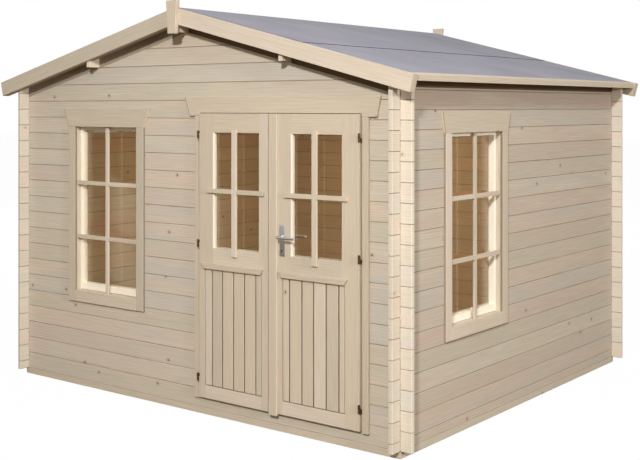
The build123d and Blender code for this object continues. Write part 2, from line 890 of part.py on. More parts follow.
with BuildPart() as door_lever:
    with BuildSketch(front_face.offset(-plate_inner - lever_gap)):
        with Locations((lever_pivot, lever_level)):
            Rectangle(spindle_width, spindle_width)
    extrude(amount=plate_outer + plate_inner + 2 * lever_gap)
    for start in (plate_outer + lever_gap, -plate_inner - lever_gap - lever_standoff):
        with BuildSketch(front_face.offset(start)):
            with Locations((lever_pivot, lever_level)):
                Circle(lever_neck_radius)
        extrude(amount=lever_standoff)
    for depth in (plate_outer + lever_standoff, -plate_inner - lever_standoff):
        grip_y = -half_depth - depth
        grip_start = Plane(
            origin=(lever_pivot - lever_neck_radius, grip_y, lever_level), x_dir=(0, 1, 0), z_dir=(1, 0, 0)
        )
        with BuildSketch(grip_start):
            Circle(lever_radius)
        extrude(amount=lever_reach + lever_neck_radius)
save("door_lever", door_lever)
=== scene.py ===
# %% [markdown]
# # A small log cabin of untreated spruce
# The cabin stands on thin beams, its walls are stacks of 28 mm planed logs that cross at the corners,
# and its shallow roof is boarded and covered with grey mineral felt.
# The solids of the model are loaded first. Everything that is built below sits on them, in metres.

# %% Load the frame
import math
import random

import bmesh
import bpy
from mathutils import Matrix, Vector


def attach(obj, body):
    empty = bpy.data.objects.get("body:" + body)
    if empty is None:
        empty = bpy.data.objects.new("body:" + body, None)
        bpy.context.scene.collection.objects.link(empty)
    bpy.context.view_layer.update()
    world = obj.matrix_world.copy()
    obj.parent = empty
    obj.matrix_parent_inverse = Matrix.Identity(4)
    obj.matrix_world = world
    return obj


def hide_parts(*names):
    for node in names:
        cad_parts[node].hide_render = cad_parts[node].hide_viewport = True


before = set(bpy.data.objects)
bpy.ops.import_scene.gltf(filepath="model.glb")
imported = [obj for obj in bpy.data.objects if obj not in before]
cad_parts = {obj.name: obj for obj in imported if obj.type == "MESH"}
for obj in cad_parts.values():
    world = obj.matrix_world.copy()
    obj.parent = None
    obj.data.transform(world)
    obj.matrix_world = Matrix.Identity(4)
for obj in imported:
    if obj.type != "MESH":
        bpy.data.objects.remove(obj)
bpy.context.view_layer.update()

MM = 0.001
dice = random.Random(28)

# %% [markdown]
# ## Sizes that many pieces share
# A log is 114 mm high, and the side walls lie half a log lower than the front and the rear, which is
# how the corners interlock. The roof falls 252.5 mm per metre. Naming these once keeps each later
# cell short, and every piece then meets its neighbours without fitting by eye. They are written in
# millimetres, as on a drawing, and turned to metres where a point is placed.

# %% Shared sizes
LOG = 114.0
THICK = 28.0
BASE = 42.0
HALF_W = 1635.0
HALF_D = 1460.0
LOG_END = 77.0
IN_W = HALF_W - THICK
IN_D = HALF_D - THICK
END_W = HALF_W + LOG_END
END_D = HALF_D + LOG_END
RIDGE = BASE + 2527.0
SLOPE = 0.2525
COS = 1 / math.hypot(1, SLOPE)
SIN = SLOPE * COS
UNDERSIDE = 19.0
FELT = 3.0
EAVES = 1759.0
ROOF_EDGE = 1791.0


def roof_at(x, drop=UNDERSIDE):
    """Height of the roof at x, this far straight below the felt."""
    return RIDGE - SLOPE * abs(x) - drop


print("roof pitch", round(math.degrees(math.atan(SLOPE)), 1), "degrees")

# %% [markdown]
# ## Drawing planes
# A joiner marks a board from its face. So each board here is an outline on a named face, with u and v
# along the face and a depth out of it, instead of corner points in space.

# %% Faces to draw on
FACES = {
    "front": ((0, 0, 0), (1, 0, 0), (0, 0, 1), (0, -1, 0)),
    "right": ((0, 0, 0), (0, 1, 0), (0, 0, 1), (1, 0, 0)),
    "plan": ((0, 0, 0), (1, 0, 0), (0, 1, 0), (0, 0, 1)),
    "front_wall": ((0, -HALF_D, 0), (1, 0, 0), (0, 0, 1), (0, -1, 0)),
    "right_wall": ((HALF_W, 0, 0), (0, 1, 0), (0, 0, 1), (1, 0, 0)),
    "right_slope": ((0, 0, RIDGE), (0, -1, 0), (COS, 0, -SIN), (SIN, 0, COS)),
    "left_slope": ((0, 0, RIDGE), (0, 1, 0), (-COS, 0, -SIN), (-SIN, 0, COS)),
}


def place(face, u, v, depth):
    """A point on a face, turned from millimetres on that face to metres in space."""
    origin, along, up, out = (Vector(part) for part in FACES[face])
    return (origin + along * u + up * v + out * depth) * MM


# %% [markdown]
# ## Boards with their own grain
# Real boards differ: each has its own grain, shade and eased edges. A cube with one texture would show
# the same grain running from board to board. Here every board is its own island of a mesh. It carries
# four values at its points: where in the tree it was cut (grain), how pale it is (tone), how dark it is
# drawn, for joints, dark edges and painted shade (seam), and how much paler it is
# drawn, for newly cut ends and painted light (paling). The materials read them.

# %% The board maker
ON_EDGE = 0.3


def new_piece():
    """An empty piece: its points, its faces and what each point carries."""
    return {"points": [], "faces": [], "grain": [], "tone": [], "seam": [], "fresh": []}


def add_board(
    piece, face, outline, back, front, grain=(1, 0), ease=1.5, steps=2, darkened_edges="", fresh=0.0,
    tone=None, painted_shade=0.0, front_outline=None,
):
    """Add one board: an outline on a face, from one depth to another, with its edges eased."""
    solid = bmesh.new()
    ends = front_outline or outline
    rear = [solid.verts.new((u, v, back)) for u, v in outline]
    fore = [solid.verts.new((u, v, front)) for u, v in ends]
    solid.faces.new(list(reversed(rear)))
    solid.faces.new(fore)
    for here in range(len(rear)):
        there = (here + 1) % len(rear)
        solid.faces.new((rear[here], rear[there], fore[there], fore[here]))
    bmesh.ops.recalc_face_normals(solid, faces=solid.faces[:])
    if ease:
        bmesh.ops.bevel(
            solid, geom=solid.edges[:], offset=ease, offset_type="OFFSET",
            segments=steps, profile=0.5, affect="EDGES", clamp_overlap=True,
        )
    solid.verts.index_update()
    limits = {}
    for name, column in (("u", 0), ("v", 1)):
        values = [vert.co[column] for vert in solid.verts]
        limits[name] = (column, min(values), max(values))
    shift = Vector((dice.uniform(0, 40), dice.uniform(0, 40), dice.uniform(0, 40)))
    chance = dice.random()
    tone = chance if tone is None else tone
    start = len(piece["points"])
    for vert in solid.verts:
        u, v, depth = vert.co
        piece["points"].append(place(face, u, v, depth))
        along = u * grain[0] + v * grain[1]
        across = v * grain[0] - u * grain[1]
        piece["grain"].append(Vector((along, across, depth)) * MM + shift)
        piece["tone"].append(tone)
        piece["fresh"].append(fresh)
        # How dark the board is drawn: painted shade over the whole board, and dust and painted shade at the
        # named edges.
        darkness = painted_shade
        for name in darkened_edges:
            column, low, high = limits[name]
            if min(vert.co[column] - low, high - vert.co[column]) < ON_EDGE:
                darkness = 1.0
        piece["seam"].append(darkness)
    for facet in solid.faces:
        piece["faces"].append([start + vert.index for vert in facet.verts])
    solid.free()


def box(left, right, bottom, top):
    """A rectangle on a face, as an outline."""
    return [(left, bottom), (right, bottom), (right, top), (left, top)]


# %% [markdown]
# ## Handing a piece over
# A finished piece stands for one solid of the frame: it rides on the same body, and that solid is hidden.

# %% Make the object
def hand_over(name, piece, material, nodes, body, smooth=False):
    """Turn the gathered boards into one object that stands for the given solids."""
    mesh = bpy.data.meshes.new(name)
    mesh.from_pydata([tuple(point) for point in piece["points"]], [], piece["faces"])
    if piece["grain"]:
        grain = mesh.attributes.new("grain", "FLOAT_VECTOR", "POINT")
        grain.data.foreach_set("vector", [value for point in piece["grain"] for value in point])
    for key in ("tone", "seam", "fresh"):
        if piece[key]:
            layer = mesh.attributes.new(key, "FLOAT", "POINT")
            layer.data.foreach_set("value", piece[key])
    mesh.materials.append(material)
    mesh.validate()
    mesh.update()
    if smooth:
        mesh.shade_smooth()
        mesh.set_sharp_from_angle(angle=math.radians(35))
    thing = bpy.data.objects.new(name, mesh)
    bpy.context.scene.collection.objects.link(thing)
    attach(thing, body)
    if nodes:
        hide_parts(*nodes)
    print(name, len(mesh.polygons), "faces")


# %% [markdown]
# ## Colours and nodes
# Colours are written as the sRGB hex values that a paint chart would give, and one function turns them
# to the linear values that the renderer works in. One small helper adds a node with its settings and
# links. It also takes the colour stops of a ramp, which aren't sockets.

# %% Colour and node helpers
BLACK = (0, 0, 0, 1)
WHITE = (1, 1, 1, 1)
TINT = {"data_type": "RGBA", "blend_type": "MULTIPLY"}


def linear(code):
    """Turn an sRGB hex colour to linear RGBA."""
    parts = [int(code[at:at + 2], 16) / 255 for at in (1, 3, 5)]
    return [c / 12.92 if c <= 0.04045 else ((c + 0.055) / 1.055) ** 2.4 for c in parts] + [1.0]


def add(owner, kind, settings=None, links=None):
    """Add a node to a material or the sky, set its fields, sockets or stops, and link its inputs."""
    node = owner.node_tree.nodes.new(kind)
    for name, value in (settings or {}).items():
        if name == "stops":
            elements = node.color_ramp.elements
            while len(elements) < len(value):
                elements.new(0.5)
            for element, (position, colour) in zip(elements, value):
                element.position = position
                element.color = colour
        elif isinstance(name, int) or name in node.inputs:
            node.inputs[name].default_value = value
        else:
            setattr(node, name, value)
    for name, source in (links or {}).items():
        owner.node_tree.links.new(source, node.inputs[name])
    return node


def blank(name):
    """A new material with an empty node tree."""
    material = bpy.data.materials.new(name)
    material.use_nodes = True
    material.node_tree.nodes.clear()
    return material


# %% [markdown]
# ## Planed spruce
# Spruce planed by machine and left bare: pale, with logs that lean to pink, green or grey, soft growth
# rings that run along the board, fine fibres, and small dark knots. Growth rings in spruce are about
# 3 mm apart, and a log shows them as streaks 8 to 15 mm wide, so they are drawn 11 mm apart.
# One image stretched over every board would repeat, so the figure is worked out from noise and waves
# that run along each board's own grain. It is made in four steps, each a short function.

# %% Tone and growth rings
def board_tone(material, grain, tone, tones):
    """The board's own tone out of the given range, drifting slowly along it."""
    drift_at = add(material, "ShaderNodeMapping", {"Scale": (1.3, 9.0, 9.0)}, {"Vector": grain})
    drift = add(
        material, "ShaderNodeTexNoise", {"Scale": 1.0, "Detail": 3.0, "Roughness": 0.55},
        {"Vector": drift_at.outputs["Vector"]},
    ).outputs["Fac"]
    spread = add(material, "ShaderNodeMath", {"operation": "MULTIPLY_ADD", 1: 0.75, 2: -0.375}, {0: drift})
    place_in_range = add(
        material, "ShaderNodeMath", {"operation": "ADD", "use_clamp": True}, {0: tone, 1: spread.outputs[0]}
    )
    last = len(tones) - 1
    stops = [(at / last, linear(code)) for at, code in enumerate(tones)]
    return add(
        material, "ShaderNodeValToRGB", {"stops": stops}, {"Fac": place_in_range.outputs[0]}
    ).outputs["Color"]


def rings_and_fibres(material, grain, colour, ring_mm):
    """Growth rings and fibres over a colour. Gives back the colour and both patterns."""
    ring_at = add(material, "ShaderNodeMapping", {"Scale": (0.035, 1.0, 0.6)}, {"Vector": grain})
    rings = add(
        material, "ShaderNodeTexWave",
        {
            "wave_type": "BANDS", "bands_direction": "Y", "Scale": math.pi / (10 * ring_mm * MM),
            "Distortion": 9.0, "Detail": 2.0, "Detail Scale": 1.2, "Detail Roughness": 0.5,
        },
        {"Vector": ring_at.outputs["Vector"]},
    ).outputs["Fac"]
    late_wood = add(
        material, "ShaderNodeValToRGB", {"stops": [(0.25, BLACK), (0.95, WHITE)]}, {"Fac": rings}
    )
    ring_share = add(
        material, "ShaderNodeMath", {"operation": "MULTIPLY", 1: 0.16}, {0: late_wood.outputs["Color"]}
    )
    ringed = add(
        material, "ShaderNodeMix", {**TINT, 7: linear("#B98F62")}, {0: ring_share.outputs[0], 6: colour}
    ).outputs[2]
    fibre_at = add(material, "ShaderNodeMapping", {"Scale": (5.0, 260.0, 260.0)}, {"Vector": grain})
    fibres = add(
        material, "ShaderNodeTexNoise", {"Scale": 1.0, "Detail": 2.0},
        {"Vector": fibre_at.outputs["Vector"]},
    ).outputs["Fac"]
    fibre_share = add(
        material, "ShaderNodeValToRGB", {"stops": [(0.35, BLACK), (0.75, (0.22, 0.22, 0.22, 1))]},
        {"Fac": fibres},
    ).outputs["Color"]
    streaked = add(material, "ShaderNodeMix", {**TINT, 7: linear("#C4A277")}, {0: fibre_share, 6: ringed})
    return streaked.outputs[2], rings, fibres


# %% [markdown]
# A knot is the stub of a branch: a dark spot about 12 mm across in a ring of warmer wood. The grain is
# divided into cells 190 mm long, and only a given share of the cells has a knot.

# %% Knots
KNOT_CELL = (0.19, 0.15)


def knots(material, grain, colour, knot_colour, knot_share):
    """Knots with their warm rings over a colour."""
    scale = (1 / KNOT_CELL[0], 1 / KNOT_CELL[1], 0.0)
    knot_at = add(material, "ShaderNodeMapping", {"Scale": scale}, {"Vector": grain})
    cells = add(
        material, "ShaderNodeTexVoronoi", {"voronoi_dimensions": "2D", "Scale": 1.0},
        {"Vector": knot_at.outputs["Vector"]},
    )
    draw = add(material, "ShaderNodeSeparateColor", links={"Color": cells.outputs["Color"]})
    chosen = add(
        material, "ShaderNodeMath", {"operation": "LESS_THAN", 1: knot_share}, {0: draw.outputs[0]}
    )
    shares = []
    for stops in (
        [(0.022, WHITE), (0.046, BLACK)],
        [(0.03, BLACK), (0.05, (0.3, 0.3, 0.3, 1)), (0.14, BLACK)],
    ):
        spot = add(material, "ShaderNodeValToRGB", {"stops": stops}, {"Fac": cells.outputs["Distance"]})
        shares.append(add(
            material, "ShaderNodeMath", {"operation": "MULTIPLY"},
            {0: spot.outputs["Color"], 1: chosen.outputs[0]},
        ).outputs[0])
    warmed = add(material, "ShaderNodeMix", {**TINT, 7: linear("#C08E5C")}, {0: shares[1], 6: colour})
    return add(
        material, "ShaderNodeMix", {"data_type": "RGBA", 7: linear(knot_colour)},
        {0: shares[0], 6: warmed.outputs[2]},
    ).outputs[2]


# %% [markdown]
# A newly cut end is paler than the planed face, and the same paling serves as painted light on reveals.
# In a joint the wood is darker, from dust and from painted shade. A board darkened whole is a strip or
# sheet of painted shade.

# %% Cut ends and joints
DARKENING_STRENGTH = 0.62


def pale_ends_and_darkening(material, colour, pale_share, seam):
    """Paler cut ends and painted light, darker joints and painted shade, over a colour."""
    pale = add(
        material, "ShaderNodeMix", {"data_type": "RGBA", "blend_type": "SCREEN", 7: linear("#E2D4BC")},
        {0: pale_share, 6: colour},
    )
    reach = add(
        material, "ShaderNodeMath", {"operation": "MULTIPLY_ADD", 1: DARKENING_STRENGTH, 2: DARKENING_STRENGTH},
        {0: pale_share},
    )
    shade = add(
        material, "ShaderNodeMath", {"operation": "MULTIPLY", "use_clamp": True},
        {0: seam, 1: reach.outputs[0]},
    )
    return add(
        material, "ShaderNodeMix", {"data_type": "RGBA", 7: linear("#5A4325")},
        {0: shade.outputs[0], 6: pale.outputs[2]},
    ).outputs[2]


# %% [markdown]
# Bare planed wood scatters light broadly: roughness about 0.6, and the usual IOR of wood, about 1.5.
# Five finishes come from the one function: logs, side logs, joinery, roof and floor boards, and beams. The
# side logs are the same logs drawn darker, as painted shade for the dimmer light on the side walls.

# %% Spruce
def spruce(name, tones, knot_colour, knot_share, ring_mm=11.0, rough=0.62):
    """Bare planed spruce in the given range of tones."""
    material = blank(name)
    carried = {
        key: add(material, "ShaderNodeAttribute", {"attribute_name": key}).outputs
        for key in ("grain", "tone", "seam", "fresh")
    }
    grain = carried["grain"]["Vector"]
    colour = board_tone(material, grain, carried["tone"]["Fac"], tones)
    colour, rings, fibres = rings_and_fibres(material, grain, colour, ring_mm)
    colour = knots(material, grain, colour, knot_colour, knot_share)
    colour = pale_ends_and_darkening(material, colour, carried["fresh"]["Fac"], carried["seam"]["Fac"])
    relief = add(material, "ShaderNodeMath", {"operation": "ADD"}, {0: fibres, 1: rings})
    bump = add(
        material, "ShaderNodeBump", {"Strength": 0.25, "Distance": 0.0004}, {"Height": relief.outputs[0]}
    )
    gloss = add(
        material, "ShaderNodeMapRange", {"To Min": rough - 0.06, "To Max": rough + 0.1}, {"Value": fibres}
    )
    skin = add(
        material, "ShaderNodeBsdfPrincipled", {"IOR": 1.5, "Specular IOR Level": 0.35},
        {"Base Color": colour, "Roughness": gloss.outputs["Result"], "Normal": bump.outputs["Normal"]},
    )
    add(material, "ShaderNodeOutputMaterial", links={"Surface": skin.outputs["BSDF"]})
    print("spruce finish:", name)
    return material


log_spruce = spruce(
    "planed_spruce_logs", ("#CBBEB0", "#C6BFAD", "#D2C3B1", "#C5BFB3", "#CDC5B4", "#CDBEB0"),
    "#4A3019", 0.09,
)
joinery_spruce = spruce(
    "planed_spruce_joinery", ("#C2B9A7", "#CABDAA", "#CCC0AB", "#D4C8B8"), "#4A301B", 0.02, ring_mm=9.0
)
board_spruce = spruce(
    "planed_spruce_boards", ("#CFC0A8", "#D2BFA6", "#CABDA5", "#D4C4AB"), "#54381F", 0.22
)
beam_spruce = spruce(
    "sawn_spruce_beams", ("#C4BAA8", "#C8BDAA", "#CABCA7"), "#3E2816", 0.12, rough=0.8
)
# The side walls take a darker copy of the log finish: painted shade for their dimmer light.
side_logs_painted_darker = spruce(
    "planed_spruce_logs_painted_darker", ("#BEB1A1", "#BDB5A4", "#C6B6A4", "#BCB5A9", "#C5BCAA", "#C2B1A3"),
    "#4A3019", 0.09,
)

# %% [markdown]
# ## Walls of crossing logs
# The logs could be one grooved slab with stripes painted on. Separate logs give each its own grain and
# shade, real eased edges that, with painted shade along them, make the dark line of a joint, and paler
# cut ends past the corners. Where two walls cross, each log is cut a quarter of its height above and
# below, so that the stacks lock.

# %% Log outlines
QUARTER = LOG / 4
EDGE = 3.2
BRIDGE = 12.0
CUT_END = 0.3
SIDE_COLUMNS = [(-HALF_W, -IN_W), (IN_W, HALF_W)]
FRONT_COLUMNS = [(-HALF_D, -IN_D), (IN_D, HALF_D)]


def add_log(piece, face, outline, depths, fresh=0.0):
    """Add one log, or the stretch of it inside this outline."""
    # Its top and bottom edges are darkened, for dust and painted shade in the joint.
    add_board(piece, face, outline, *depths, ease=EDGE, steps=1, darkened_edges="v", fresh=fresh)


def log_outline(left, right, bottom, top, under=(), over=()):
    """A log seen from its face, with (from, to, depth) notches under it and over it."""
    points = [(left, bottom)]
    for near, far, depth in sorted(under):
        points += [(near, bottom), (near, bottom + depth), (far, bottom + depth), (far, bottom)]
    points += [(right, bottom), (right, top)]
    for near, far, depth in sorted(over, reverse=True):
        points += [(far, top), (far, top - depth), (near, top - depth), (near, top)]
    return points + [(left, top)]


def step_corners(outline, width, cuts):
    """Cut the corners of a log where it crosses another, so that only half its height passes through."""
    low_left, low_right, high_left, high_right = cuts
    left, bottom = outline[0]
    right, top = max(point[0] for point in outline), max(point[1] for point in outline)
    near, far = left + width, right - width
    steps = {
        (left, bottom): [(left, bottom + low_left), (near, bottom + low_left), (near, bottom)],
        (right, bottom): [(far, bottom), (far, bottom + low_right), (right, bottom + low_right)],
        (right, top): [(right, top - high_right), (far, top - high_right), (far, top)],
        (left, top): [(near, top), (near, top - high_left), (left, top - high_left)],
    }
    depths = dict(zip(steps, (low_left, low_right, high_right, high_left)))
    stepped = []
    for point in outline:
        stepped += steps[point] if depths.get(point) else [point]
    return stepped


def lay_log(piece, face, span, levels, depths, columns, holes=(), notch_under=True, notch_over=True):
    """Lay one log, cut at the crossings it reaches and around any opening in its way."""
    left, right = span
    bottom, top = levels
    runs = [(left, right)]
    under = []
    over = []
    for hole_left, hole_right, hole_bottom, hole_top in holes:
        if hole_top <= bottom or hole_bottom >= top:
            continue
        if hole_bottom <= bottom + BRIDGE and hole_top >= top - BRIDGE:
            runs = [(left, hole_left), (hole_right, right)]
        elif hole_bottom > bottom:
            over.append((hole_left, hole_right, top - hole_bottom))
        else:
            under.append((hole_left, hole_right, hole_top - bottom))
    for start, end in runs:
        inner_start, inner_end = max(start, columns[0][0]), min(end, columns[-1][1])
        for near, far in ((start, inner_start), (inner_end, end)):
            if near < far:
                add_log(piece, face, box(near, far, bottom, top), depths, CUT_END)
        low_left = low_right = high_left = high_right = 0.0
        if inner_start != start:
            low_left, high_left = QUARTER * notch_under, QUARTER * notch_over
        if inner_end != end:
            low_right, high_right = QUARTER * notch_under, QUARTER * notch_over
        inside = [cut for cut in under if start < cut[0] < end]
        verge_shade = [cut for cut in over if start < cut[0] < end]
        outline = log_outline(inner_start, inner_end, bottom, top, inside, verge_shade)
        shoulder = columns[0][1] - columns[0][0]
        outline = step_corners(outline, shoulder, (low_left, low_right, high_left, high_right))
        add_log(piece, face, outline, depths)


def level(number):
    """Height of the joint above this many courses of the front wall."""
    return BASE + number * LOG


WALL_COURSES = 18
FRONT_DEPTHS = (IN_D, HALF_D)
REAR_DEPTHS = (-HALF_D, -IN_D)
FULL = (-END_W, END_W)
DOOR_CUT = (103.0, 1415.0, level(0.5), BASE + 1891.0)
WINDOW_HALF = 615.0 / 2
FRONT_WINDOW = (-765.0, BASE + 622.0)
SIDE_WINDOW = (-626.0, BASE + 605.0)
WINDOW_HEIGHT = 1138.0
LINING = 20.0


def opening(window):
    """Left, right, bottom and top of a window inside its lining."""
    centre, sill = window
    return (centre - WINDOW_HALF, centre + WINDOW_HALF, sill, sill + WINDOW_HEIGHT)


def grown(edges, by):
    """The same rectangle, larger by this much on each side."""
    left, right, bottom, top = edges
    return (left - by, right + by, bottom - by, top + by)


# %% Front and rear logs
sill_log = new_piece()
lay_log(sill_log, "front", FULL, (level(0), level(1)), FRONT_DEPTHS, SIDE_COLUMNS, [DOOR_CUT])
hand_over("front_sill_log_detail", sill_log, log_spruce, ["front_sill_log"], "cabin")

for name, span, node, holes in (
    ("front_logs_left", (-END_W, DOOR_CUT[0]), "front_wall_left", [grown(opening(FRONT_WINDOW), LINING)]),
    ("front_logs_right", (DOOR_CUT[1], END_W), "front_wall_right", []),
):
    stack = new_piece()
    for number in range(1, 16):
        levels = (level(number), level(number + 1))
        lay_log(stack, "front", span, levels, FRONT_DEPTHS, SIDE_COLUMNS, holes)
    hand_over(name, stack, log_spruce, [node], "cabin")

rear_stack = new_piece()
for number in range(WALL_COURSES):
    lay_log(rear_stack, "front", FULL, (level(number), level(number + 1)), REAR_DEPTHS, SIDE_COLUMNS)
hand_over("rear_logs", rear_stack, log_spruce, ["rear_wall"], "cabin")

# %% Side logs
for name, node, depths, holes in (
    ("left_logs", "left_wall", (-HALF_W, -IN_W), []),
    ("right_logs", "right_wall", (IN_W, HALF_W), [grown(opening(SIDE_WINDOW), LINING)]),
):
    stack = new_piece()
    reach = (-END_D, END_D)
    lay_log(stack, "right", reach, (level(0), level(0.5)), depths, FRONT_COLUMNS, holes, notch_under=False)
    for number in range(WALL_COURSES - 1):
        levels = (level(number + 0.5), level(number + 1.5))
        lay_log(stack, "right", reach, levels, depths, FRONT_COLUMNS, holes)
    top_levels = (level(WALL_COURSES - 0.5), roof_at(HALF_W))
    gable_cut = roof_at(HALF_W) - level(WALL_COURSES + 0.25)
    outline = log_outline(-HALF_D, HALF_D, *top_levels)
    outline = step_corners(outline, THICK, (QUARTER, QUARTER, gable_cut, gable_cut))
    add_log(stack, "right", outline, depths)
    for near, far in ((-END_D, -HALF_D), (HALF_D, END_D)):
        add_log(stack, "right", box(near, far, *top_levels), depths, CUT_END)
    hand_over(name, stack, side_logs_painted_darker, [node], "cabin")


# %% [markdown]
# ## Gables
# The gable logs are sawn to the slope of the roof and parted where a purlin passes through.

# %% Gable logs
def under_roof(left, right, bottom, top):
    """What lies between two heights, within left and right, and under the roof boards."""
    apex = roof_at(0)
    meet = (apex - top) / SLOPE
    bends = [right] + [x for x in (meet, 0.0, -meet) if left < x < right] + [left]
    if meet <= 0:
        bends = [right] + ([0.0] if left < 0 < right else []) + [left]
    points = [(left, bottom), (right, bottom)]
    for x in bends:
        point = (x, min(top, roof_at(x)))
        if math.dist(point, points[-1]) > 1 and math.dist(point, points[0]) > 1:
            points.append(point)
    return points


PURLIN = 852.0
PURLIN_HALF = 14.0
PURLIN_BOTTOM = BASE + 2167.0
RIDGE_PURLIN_BOTTOM = BASE + 2371.0


def lay_gable(piece, depths):
    """The four courses above the walls, at the given depths."""
    bottom, top = level(WALL_COURSES), level(WALL_COURSES + 1)
    outline = under_roof(-END_W, END_W, bottom, top)
    notched = []
    for near, far in SIDE_COLUMNS:
        notched += [(near, bottom), (near, bottom + QUARTER), (far, bottom + QUARTER), (far, bottom)]
    add_log(piece, "front", [outline[0]] + notched + outline[1:], depths)
    outer = PURLIN + PURLIN_HALF
    inner = PURLIN - PURLIN_HALF
    bottom, top = top, level(WALL_COURSES + 2)
    reach = (roof_at(0) - bottom) / SLOPE
    for left, right in ((-reach, -outer), (-inner, inner), (outer, reach)):
        add_log(piece, "front", under_roof(left, right, bottom, top), depths)
    bottom, top = top, level(WALL_COURSES + 3)
    outline = under_roof(-inner, inner, bottom, top)
    at = next(index for index, point in enumerate(outline) if point[0] < 0 and point[1] > top - 1)
    slot = [
        (PURLIN_HALF, top), (PURLIN_HALF, RIDGE_PURLIN_BOTTOM),
        (-PURLIN_HALF, RIDGE_PURLIN_BOTTOM), (-PURLIN_HALF, top),
    ]
    add_log(piece, "front", outline[:at] + slot + outline[at:], depths)
    reach = (roof_at(0) - top) / SLOPE
    for left, right in ((-reach, -PURLIN_HALF), (PURLIN_HALF, reach)):
        add_log(piece, "front", under_roof(left, right, top, top + LOG), depths)


front_gable = new_piece()
for number in (WALL_COURSES - 2, WALL_COURSES - 1):
    levels = (level(number), level(number + 1))
    lay_log(front_gable, "front", FULL, levels, FRONT_DEPTHS, SIDE_COLUMNS, [DOOR_CUT])
lay_gable(front_gable, FRONT_DEPTHS)
hand_over("front_gable_logs", front_gable, log_spruce, ["front_gable"], "cabin")

rear_gable = new_piece()
lay_gable(rear_gable, REAR_DEPTHS)
hand_over("rear_gable_logs", rear_gable, log_spruce, ["rear_gable"], "cabin")

# %% [markdown]
# ## Foundation and floor
# Sawn beams carry the walls, and joists carry tongued floor boards. The boards are laid one by one, so
# that the joints between them are real.

# %% Beams, joists and floor
BEAM = 70.0
JOIST = 45.0
BAYS = 5
FLOOR_GAP = 5.0
FLOOR_THICK = 18.0
NARROWEST = 30.0
BETWEEN_BEAMS = box(-HALF_D + BEAM, HALF_D - BEAM, 0, BASE)

beams = new_piece()
for outer in (HALF_D, -HALF_D + BEAM):
    add_board(beams, "front", box(-HALF_W, HALF_W, 0, BASE), outer - BEAM, outer, ease=2.0)
hand_over("foundation_beams", beams, beam_spruce, ["front_and_rear_beams"], "cabin")

beams = new_piece()
for left in (-HALF_W, HALF_W - BEAM):
    add_board(beams, "right", BETWEEN_BEAMS, left, left + BEAM, ease=2.0)
hand_over("foundation_side_beams", beams, beam_spruce, ["side_beams"], "cabin")

joists = new_piece()
for number in range(1, BAYS):
    left = -HALF_W + number * 2 * HALF_W / BAYS - JOIST / 2
    add_board(joists, "right", BETWEEN_BEAMS, left, left + JOIST)
hand_over("joists", joists, beam_spruce, ["floor_joists"], "cabin")

floor = new_piece()
start = -IN_D + FLOOR_GAP
while start < IN_D - FLOOR_GAP - NARROWEST:
    end = min(start + LOG, IN_D - FLOOR_GAP)
    outline = box(-IN_W + FLOOR_GAP, IN_W - FLOOR_GAP, start, end)
    # The board edges are darkened, for dust and painted shade in the joints.
    add_board(floor, "plan", outline, BASE, BASE + FLOOR_THICK, ease=1.2, darkened_edges="v")
    start = end
hand_over("floor_boarding", floor, board_spruce, ["floor_boards"], "cabin")

# %% [markdown]
# ## Roof timbers and boards
# Purlins run from gable to gable and end behind the bargeboards. The roof boards lie down the slope,
# side by side, and show from under the eaves and from inside. Where they overhang the walls they are
# drawn darker, as painted shade.

# %% Purlins and roof boards
BARGE_THICK = 20.0
BARGE_WIDTH = 104.0
BATTEN_THICK = 36.0
VERGE = HALF_D + 112.0
VERGE_BACK = VERGE - BARGE_THICK
BATTEN_BACK = VERGE_BACK - BATTEN_THICK
BOARD_PITCH = 97.0
RIDGE_GAP = 5.0


def grain_along_ridge(piece):
    """Turn the grain of boards drawn across the ridge, so that it runs along their depth."""
    piece["grain"] = [Vector((point.z, point.y, point.x)) for point in piece["grain"]]


purlins = new_piece()
for middle in (-PURLIN, 0, PURLIN):
    near, far = middle - PURLIN_HALF, middle + PURLIN_HALF
    bottom = PURLIN_BOTTOM if middle else RIDGE_PURLIN_BOTTOM
    outline = [(near, bottom), (far, bottom), (far, roof_at(far)), (near, roof_at(near))]
    add_board(purlins, "front", outline, -VERGE_BACK, VERGE_BACK, fresh=CUT_END)
grain_along_ridge(purlins)
hand_over("purlin_timbers", purlins, board_spruce, ["purlins"], "cabin")

for name, slope, node in (
    ("right_roof_boarding", "right_slope", "right_roof_boards"),
    ("left_roof_boarding", "left_slope", "left_roof_boards"),
):
    boards = new_piece()
    at = -VERGE_BACK
    while at < VERGE_BACK - 1:
        end = min(at + BOARD_PITCH, VERGE_BACK)
        # Boards outside the walls, under the verges and eaves, are drawn darker as painted shade, and the
        # edges of every board are darkened for dust and painted shade in the joints.
        verge_shade = 1.0 if at < -HALF_D or end > HALF_D else 0.0
        for near, far, painted_shade in ((RIDGE_GAP, HALF_W / COS, verge_shade), (HALF_W / COS, EAVES / COS, 1.0)):
            add_board(
                boards, slope, box(at, end, near, far), -UNDERSIDE * COS, -FELT * COS,
                grain=(0, 1), ease=1.6, steps=1, darkened_edges="u", painted_shade=painted_shade,
            )
        at = end
    hand_over(name, boards, board_spruce, [node], "cabin")

# %% [markdown]
# ## Eaves, verges and finials
# An eaves board closes the roof along each side. Under each verge a batten carries a bargeboard, whose
# ends are sawn square to the slope, and a finial block covers the joint at the peak. Right under the
# eaves and verges a strip 2 mm thick on the wall is drawn dark: painted shadow for the shade that the
# overhang casts there. It sits on the strip so that the logs behind it keep their own colour.

# %% Eaves boards
SHADE_STRIP = 2.0
PAINTED_SHADOW_BAND = (BASE + 2008, BASE + 2060)
EAVES_BOARD = ((EAVES, 2039.0), (1777.0, 2039.0), (1777.0, 2073.0), (1766.0, 2084.0), (EAVES, 2084.0))

